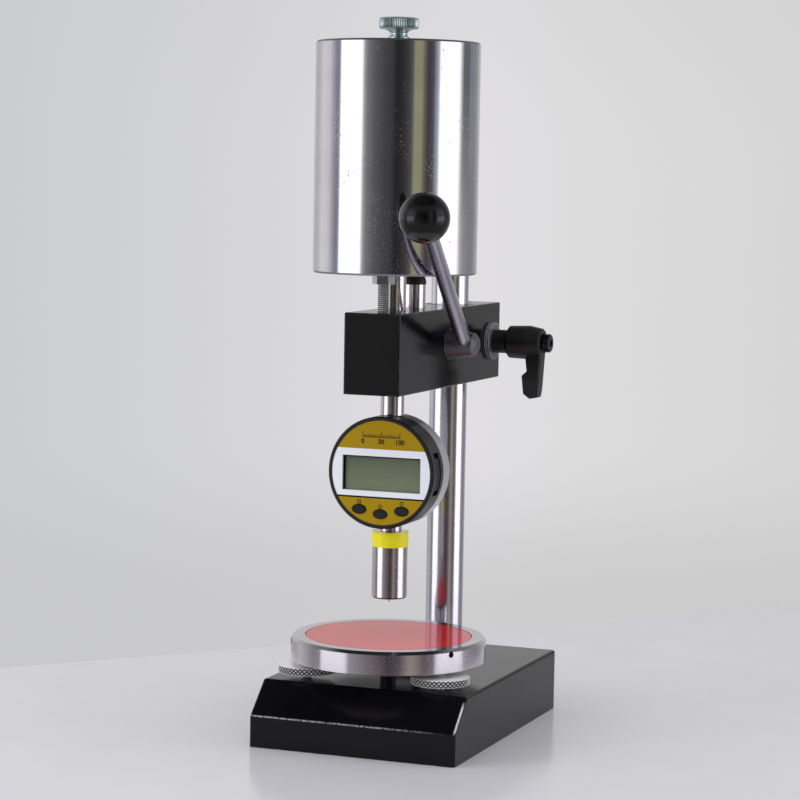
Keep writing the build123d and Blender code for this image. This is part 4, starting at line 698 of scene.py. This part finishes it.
# ---- gauge scale and key marks, printed on the face ----
ink = coat_finish("face_ink", hue(16, 11, 4), hue(26, 18, 6), 0.40, 0.55, dusty=0.0, specular=0.2)
PRINT = 0.03 * MM  # how far the ink stands out of the face
INK_DEPTHS = (FACE_Y - PRINT, FACE_Y + PRINT)
SCALE_HEIGHT = 18.0 * MM  # the scale's base line, above the middle of the display
SCALE_LINE = 0.34 * MM
TICK_LINE = 0.36 * MM
TICK_STEP = 1.0 * MM
HALF_TICKS = 10
LONG_TICK = 2.43 * MM
MIDDLE_TICK = 1.73 * MM
SHORT_TICK = 1.13 * MM
NUMERAL_HEIGHT = 15.7 * MM
NUMERAL_SIZE = 3.3 * MM


def flat_box(shape, x, z, width, height):
    """Rectangle of ink about a point of the face."""
    corners = [shape.verts.new((x + sx * width / 2, y, z + sz * height / 2))
               for y in INK_DEPTHS for sx, sz in ((-1, -1), (1, -1), (1, 1), (-1, 1))]
    for face in ((0, 1, 2, 3), (7, 6, 5, 4), (1, 0, 4, 5), (2, 1, 5, 6), (3, 2, 6, 7), (0, 3, 7, 4)):
        shape.faces.new([corners[i] for i in face])


def scale_marks():
    """Base line and ticks of the plain scale."""
    shape = bmesh.new()
    line_top = GAUGE_Z + SCALE_HEIGHT + SCALE_LINE / 2
    for tick in range(-HALF_TICKS, HALF_TICKS + 1):
        height = LONG_TICK if tick % HALF_TICKS == 0 else MIDDLE_TICK if tick % 5 == 0 else SHORT_TICK
        flat_box(shape, tick * TICK_STEP, line_top + height / 2, TICK_LINE, height)
    flat_box(shape, 0, GAUGE_Z + SCALE_HEIGHT, 2 * HALF_TICKS * TICK_STEP + 0.3 * MM, SCALE_LINE)
    return add_mesh("scale_ticks", shape, ink, "load")


def numeral(name, digits, x, z, height):
    """Printed digits, centred on a point of the face."""
    letters = bpy.data.curves.new(name, "FONT")
    letters.body = digits
    letters.size = height
    letters.align_x = "CENTER"
    letters.align_y = "CENTER"
    letters.extrude = PRINT
    letters.offset = 0.035 * height
    carrier = bpy.data.objects.new(name + "_outline", letters)
    scene.collection.objects.link(carrier)
    bpy.context.view_layer.update()
    flat = bpy.data.meshes.new_from_object(carrier)
    bpy.data.objects.remove(carrier)
    flat.transform(Matrix.Translation((x, FACE_Y, z)) @ Matrix.Rotation(radians(90), 4, "X"))
    flat.name = name
    flat.materials.clear()
    flat.materials.append(ink)
    made = bpy.data.objects.new(name, flat)
    scene.collection.objects.link(made)
    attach(made, "load")
    return made


scale_marks()
for number, tick in (("0", -HALF_TICKS), ("50", 0), ("100", HALF_TICKS)):
    made = numeral(f"scale_{number}", number, tick * TICK_STEP, GAUGE_Z + NUMERAL_HEIGHT, NUMERAL_SIZE)


def ring_mark(name, x, z, radius, line, steps=32, gap=0.0, bar=0.0):
    """Ring over a key. With four steps it is a square. It may be open at the top, with an upright
    bar in the gap."""
    shape = bmesh.new()
    start = pi / 2 + (gap / 2 if gap else pi / steps)
    rings = []
    for step in range(steps + 1 if gap else steps):
        angle = start + (2 * pi - gap) * step / steps
        rings.append([shape.verts.new((x + reach * cos(angle), y, z + reach * sin(angle)))
                      for y in INK_DEPTHS for reach in (radius - line, radius)])
    for last, ends in zip(rings, rings[1:] if gap else rings[1:] + rings[:1]):
        for a, b in ((0, 1), (1, 3), (3, 2), (2, 0)):
            shape.faces.new((last[a], last[b], ends[b], ends[a]))
    if gap:
        shape.faces.new([rings[0][i] for i in (0, 2, 3, 1)])
        shape.faces.new([rings[-1][i] for i in (1, 3, 2, 0)])
    if bar:
        flat_box(shape, x, z + radius - bar / 2 + line, line, bar)
    return add_mesh(name, shape, ink, "load")


MARK_ACROSS = 11.5 * MM
key_marks = (
    ring_mark("key_mark_left", -MARK_ACROSS, GAUGE_Z - 15.2 * MM, 1.34 * MM, 0.59 * MM, steps=4),
    ring_mark("key_mark_middle", 0.0, GAUGE_Z - 17.2 * MM, 1.05 * MM, 0.40 * MM, gap=1.3, bar=1.1 * MM),
    ring_mark("key_mark_right", MARK_ACROSS, GAUGE_Z - 15.0 * MM, 1.05 * MM, 0.42 * MM),
)

# ==== camera ====
camera = bpy.data.objects.new("camera", bpy.data.cameras.new("camera"))
camera.data.lens = 117.503
camera.data.sensor_width = 36.0
camera.data.clip_start = 0.01
camera.data.clip_end = 50.0
right = Vector((0.93265696, 0.36035142, 0.01725821))
up = Vector((-0.04749575, 0.07522506, 0.99603481))
back = Vector((0.35762431, -0.92977849, 0.08727434))
camera_place = Matrix((right, up, back)).transposed().to_4x4()
camera_place.translation = Vector((0.477857, -1.261779, 0.289942))
camera.matrix_world = camera_place
scene.collection.objects.link(camera)
scene.camera = camera

# ==== studio ====
# Bands of the studio wall round the object, by azimuth from the front (-Y) towards +X.
SOFTBOX = (1.9, 1.9, 1.9, 1.0)
STUDIO_BANDS = (
    (-180, grey(200)), (-150, grey(208)), (-122, grey(204)), (-104, grey(248)), (-88, grey(240)),
    (-79, hue(192, 190, 196)), (-71, hue(140, 148, 162)), (-66, hue(170, 182, 196)), (-64, SOFTBOX),
    (-30, SOFTBOX), (-26, grey(196)), (-21, grey(143)), (-10, grey(107)), (4, grey(82)), (13, grey(74)),
    (20, grey(46)), (27, grey(52)), (36, grey(74)), (42, grey(104)), (45, hue(170, 172, 136)),
    (55, hue(168, 170, 136)), (58, hue(130, 124, 108)), (64, hue(78, 72, 76)), (72, hue(98, 94, 104)),
    (80, hue(206, 214, 228)), (83, SOFTBOX), (115, SOFTBOX), (122, grey(218)), (130, grey(174)),
    (146, hue(150, 152, 160)), (162, grey(158)), (180, grey(200)),
)
# The same wall below the level of the object's middle.
LOW_BANDS = (
    (-180, grey(196)), (-122, hue(180, 178, 180)), (-104, grey(206)), (-79, hue(150, 146, 150)),
    (-66, hue(150, 150, 160)), (-63, SOFTBOX), (-32, SOFTBOX), (-27, hue(170, 166, 172)),
    (-18, hue(158, 154, 162)), (-9, hue(140, 132, 138)), (8, hue(114, 102, 105)), (20, hue(76, 66, 71)),
    (33, hue(92, 82, 84)), (46, hue(166, 156, 146)), (54, hue(150, 142, 134)), (62, hue(108, 98, 98)),
    (76, hue(128, 124, 130)), (82, SOFTBOX), (113, SOFTBOX), (120, hue(170, 164, 172)),
    (146, hue(142, 140, 152)), (180, grey(196)),
)
# Backdrop seen past the object: position from its right end to its left end, and colour.
BACKDROP = ((0.0, grey(214)), (0.19, grey(218)), (0.40, hue(225, 223, 226)), (0.62, hue(216, 215, 219)),
            (0.87, hue(207, 208, 212)), (1.0, hue(204, 205, 209)))
BACKDROP_SPAN = (0.0347, 0.0825)
EVEN_LIGHT = 0.72
CARD_START = (122 + 180) / 360
CARD_END = (144 + 180) / 360
CARD_SOFT = 0.012
DIMMED = (0.80, 0.80, 0.88)
# Where one zone of the wall goes over into the next, by the upward part of the direction.
LOW_BLEND = (-0.12, -0.045)
CARD_FOOT = (-0.03, 0.035)
BOX_TOP = (0.07, 0.13)
BOX_FOOT = (-0.185, -0.165)
CEILING = (0.3, 0.7)
ZENITH = (0.74, 0.88)
GROUND = (-0.5, -0.2)
TABLE_SHADE = (-0.165, -0.10)
TOP_SHADE = (0.0, 0.09)


def by_turn(bands):
    """Band azimuths in degrees as positions from 0 to 1."""
    return [((azimuth + 180) / 360, colour) for azimuth, colour in bands]


def make_world():
    world = bpy.data.worlds.new("studio")
    scene.world = world
    world.use_nodes = True
    tree = world.node_tree
    tree.nodes.clear()
    direction = put(tree, "ShaderNodeTexCoord").outputs["Generated"]
    x, y, z = put(tree, "ShaderNodeSeparateXYZ", {0: direction}).outputs
    azimuth = calc(tree, "ARCTAN2", x, calc(tree, "MULTIPLY", y, -1.0))
    turn = calc(tree, "MULTIPLY_ADD", azimuth, 1 / (2 * pi))
    turn.node.inputs[2].default_value = 0.5
    upper = ramp(tree, turn, by_turn(STUDIO_BANDS))
    lower = ramp(tree, turn, by_turn(LOW_BANDS))
    bands = blend_colours(tree, spread(tree, z, *LOW_BLEND, 1.0, 0.0, smooth=True), upper, lower)
    # dark card above the level of the lens, behind the right softbox
    card = calc(tree, "MULTIPLY", spread(tree, turn, CARD_START, CARD_START + CARD_SOFT),
                spread(tree, turn, CARD_END - CARD_SOFT, CARD_END, 1.0, 0.0))
    card = calc(tree, "MULTIPLY", card, spread(tree, z, *CARD_FOOT, smooth=True))
    bands = blend_colours(tree, card, bands, hue(120, 122, 130))
    # the softboxes dim towards their upper and lower ends
    dimmed = put(tree, "ShaderNodeVectorMath", {0: bands, 1: DIMMED}, operation="MINIMUM").outputs[0]
    ends = calc(tree, "MAXIMUM", spread(tree, z, *BOX_TOP), spread(tree, z, *BOX_FOOT, 1.0, 0.0))
    bands = blend_colours(tree, ends, bands, dimmed)
    seen = blend_colours(tree, spread(tree, z, *CEILING, smooth=True), bands, grey(130))
    seen = blend_colours(tree, spread(tree, z, *ZENITH, smooth=True), seen, grey(40))
    seen = blend_colours(tree, spread(tree, z, *GROUND, 1.0, 0.0, smooth=True), seen, grey(150))
    backdrop = ramp(tree, spread(tree, turn, *BACKDROP_SPAN), BACKDROP)
    near_table = spread(tree, z, *TABLE_SHADE, 0.75, 0.0, smooth=True)
    backdrop = blend_colours(tree, near_table, backdrop, hue(199, 199, 200))
    backdrop = blend_colours(tree, spread(tree, z, *TOP_SHADE, 0.0, 0.3, smooth=True), backdrop, grey(204))
    path = put(tree, "ShaderNodeLightPath")
    mirrored = put(tree, "ShaderNodeBackground", {"Color": seen, "Strength": 1.0})
    even = put(tree, "ShaderNodeBackground", {"Color": (1.0, 0.99, 1.0, 1.0), "Strength": EVEN_LIGHT})
    behind = put(tree, "ShaderNodeBackground", {"Color": backdrop, "Strength": 1.0})
    by_ray = {0: path.outputs["Is Glossy Ray"], 1: even.outputs[0], 2: mirrored.outputs[0]}
    glossy = put(tree, "ShaderNodeMixShader", by_ray)
    direct = calc(tree, "MAXIMUM", path.outputs["Is Camera Ray"], path.outputs["Is Transmission Ray"])
    final = put(tree, "ShaderNodeMixShader", {0: direct, 1: glossy.outputs[0], 2: behind.outputs[0]})
    put(tree, "ShaderNodeOutputWorld", {"Surface": final.outputs[0]})


make_world()


OBJECT_MIDDLE = Vector((0, 0, 0.16))


def soft_lamp(name, azimuth, height, distance, width, tall, power):
    """Rectangular lamp that faces the middle of the object."""
    data = bpy.data.lights.new(name, "AREA")
    data.shape = "RECTANGLE"
    data.size = width
    data.size_y = tall
    data.energy = power
    lamp = bpy.data.objects.new(name, data)
    where = Vector((sin(radians(azimuth)) * distance, -cos(radians(azimuth)) * distance, height))
    lamp.location = where
    lamp.rotation_euler = (OBJECT_MIDDLE - where).to_track_quat("-Z", "Y").to_euler()
    lamp.visible_glossy = False
    scene.collection.objects.link(lamp)


soft_lamp("left_softbox", -46, 0.55, 1.3, 0.7, 0.9, 9.0)
soft_lamp("right_softbox", 99, 0.55, 1.3, 0.6, 0.9, 5.0)
soft_lamp("top_softbox", 20, 1.4, 0.2, 0.9, 0.9, 6.0)

# ==== table ====
TABLE_SLANT = (-0.7580, 0.6523)  # direction from the object square to the far edge of the table
TABLE_EDGE = 0.235
TABLE_REACH = 3.0
MIRROR_REACH = 0.25              # mirrored rays meet the table only this near to the object
FADE_START = 0.9
FADE_END = 1.6


def make_floor():
    """Pale table. Its far edge runs behind the object, and it ends softly in the backdrop."""
    shape = bmesh.new()
    far = Vector((*TABLE_SLANT, 0.0))
    along = Vector((-far.y, far.x, 0.0))
    near, far_edge, side = far * -TABLE_REACH, far * TABLE_EDGE, along * TABLE_REACH
    corners = [far_edge + side, near + side, near - side, far_edge - side]
    shape.faces.new([shape.verts.new(corner) for corner in corners])
    mesh = bpy.data.meshes.new("floor")
    shape.to_mesh(mesh)
    shape.free()
    made, tree, shader, place = start_material("table_top")
    body = effect(tree, grain, place=place, fine_scale=300.0)
    table = blend_colours(tree, body["Cloud"], hue(197, 196, 201), hue(194, 193, 199))
    tree.links.new(table, shader.inputs["Base Color"])
    tree.links.new(spread(tree, body["Fine"], 0.0, 1.0, 0.16, 0.20), shader.inputs["Roughness"])
    shader.inputs["Specular IOR Level"].default_value = 0.22
    radius = put(tree, "ShaderNodeVectorMath", {0: place}, operation="LENGTH").outputs["Value"]
    fading = spread(tree, radius, FADE_START, FADE_END, smooth=True)
    path = put(tree, "ShaderNodeLightPath")
    outside = calc(tree, "GREATER_THAN", radius, MIRROR_REACH)
    past = calc(tree, "MULTIPLY", path.outputs["Is Glossy Ray"], outside)
    gone = calc(tree, "MAXIMUM", fading, past)
    clear = put(tree, "ShaderNodeBsdfTransparent")
    mixed = put(tree, "ShaderNodeMixShader", {0: gone, 1: shader.outputs[0], 2: clear.outputs[0]})
    tree.links.new(mixed.outputs[0], tree.nodes["Material Output"].inputs["Surface"])
    mesh.materials.append(made)
    floor = bpy.data.objects.new("floor", mesh)
    scene.collection.objects.link(floor)


make_floor()
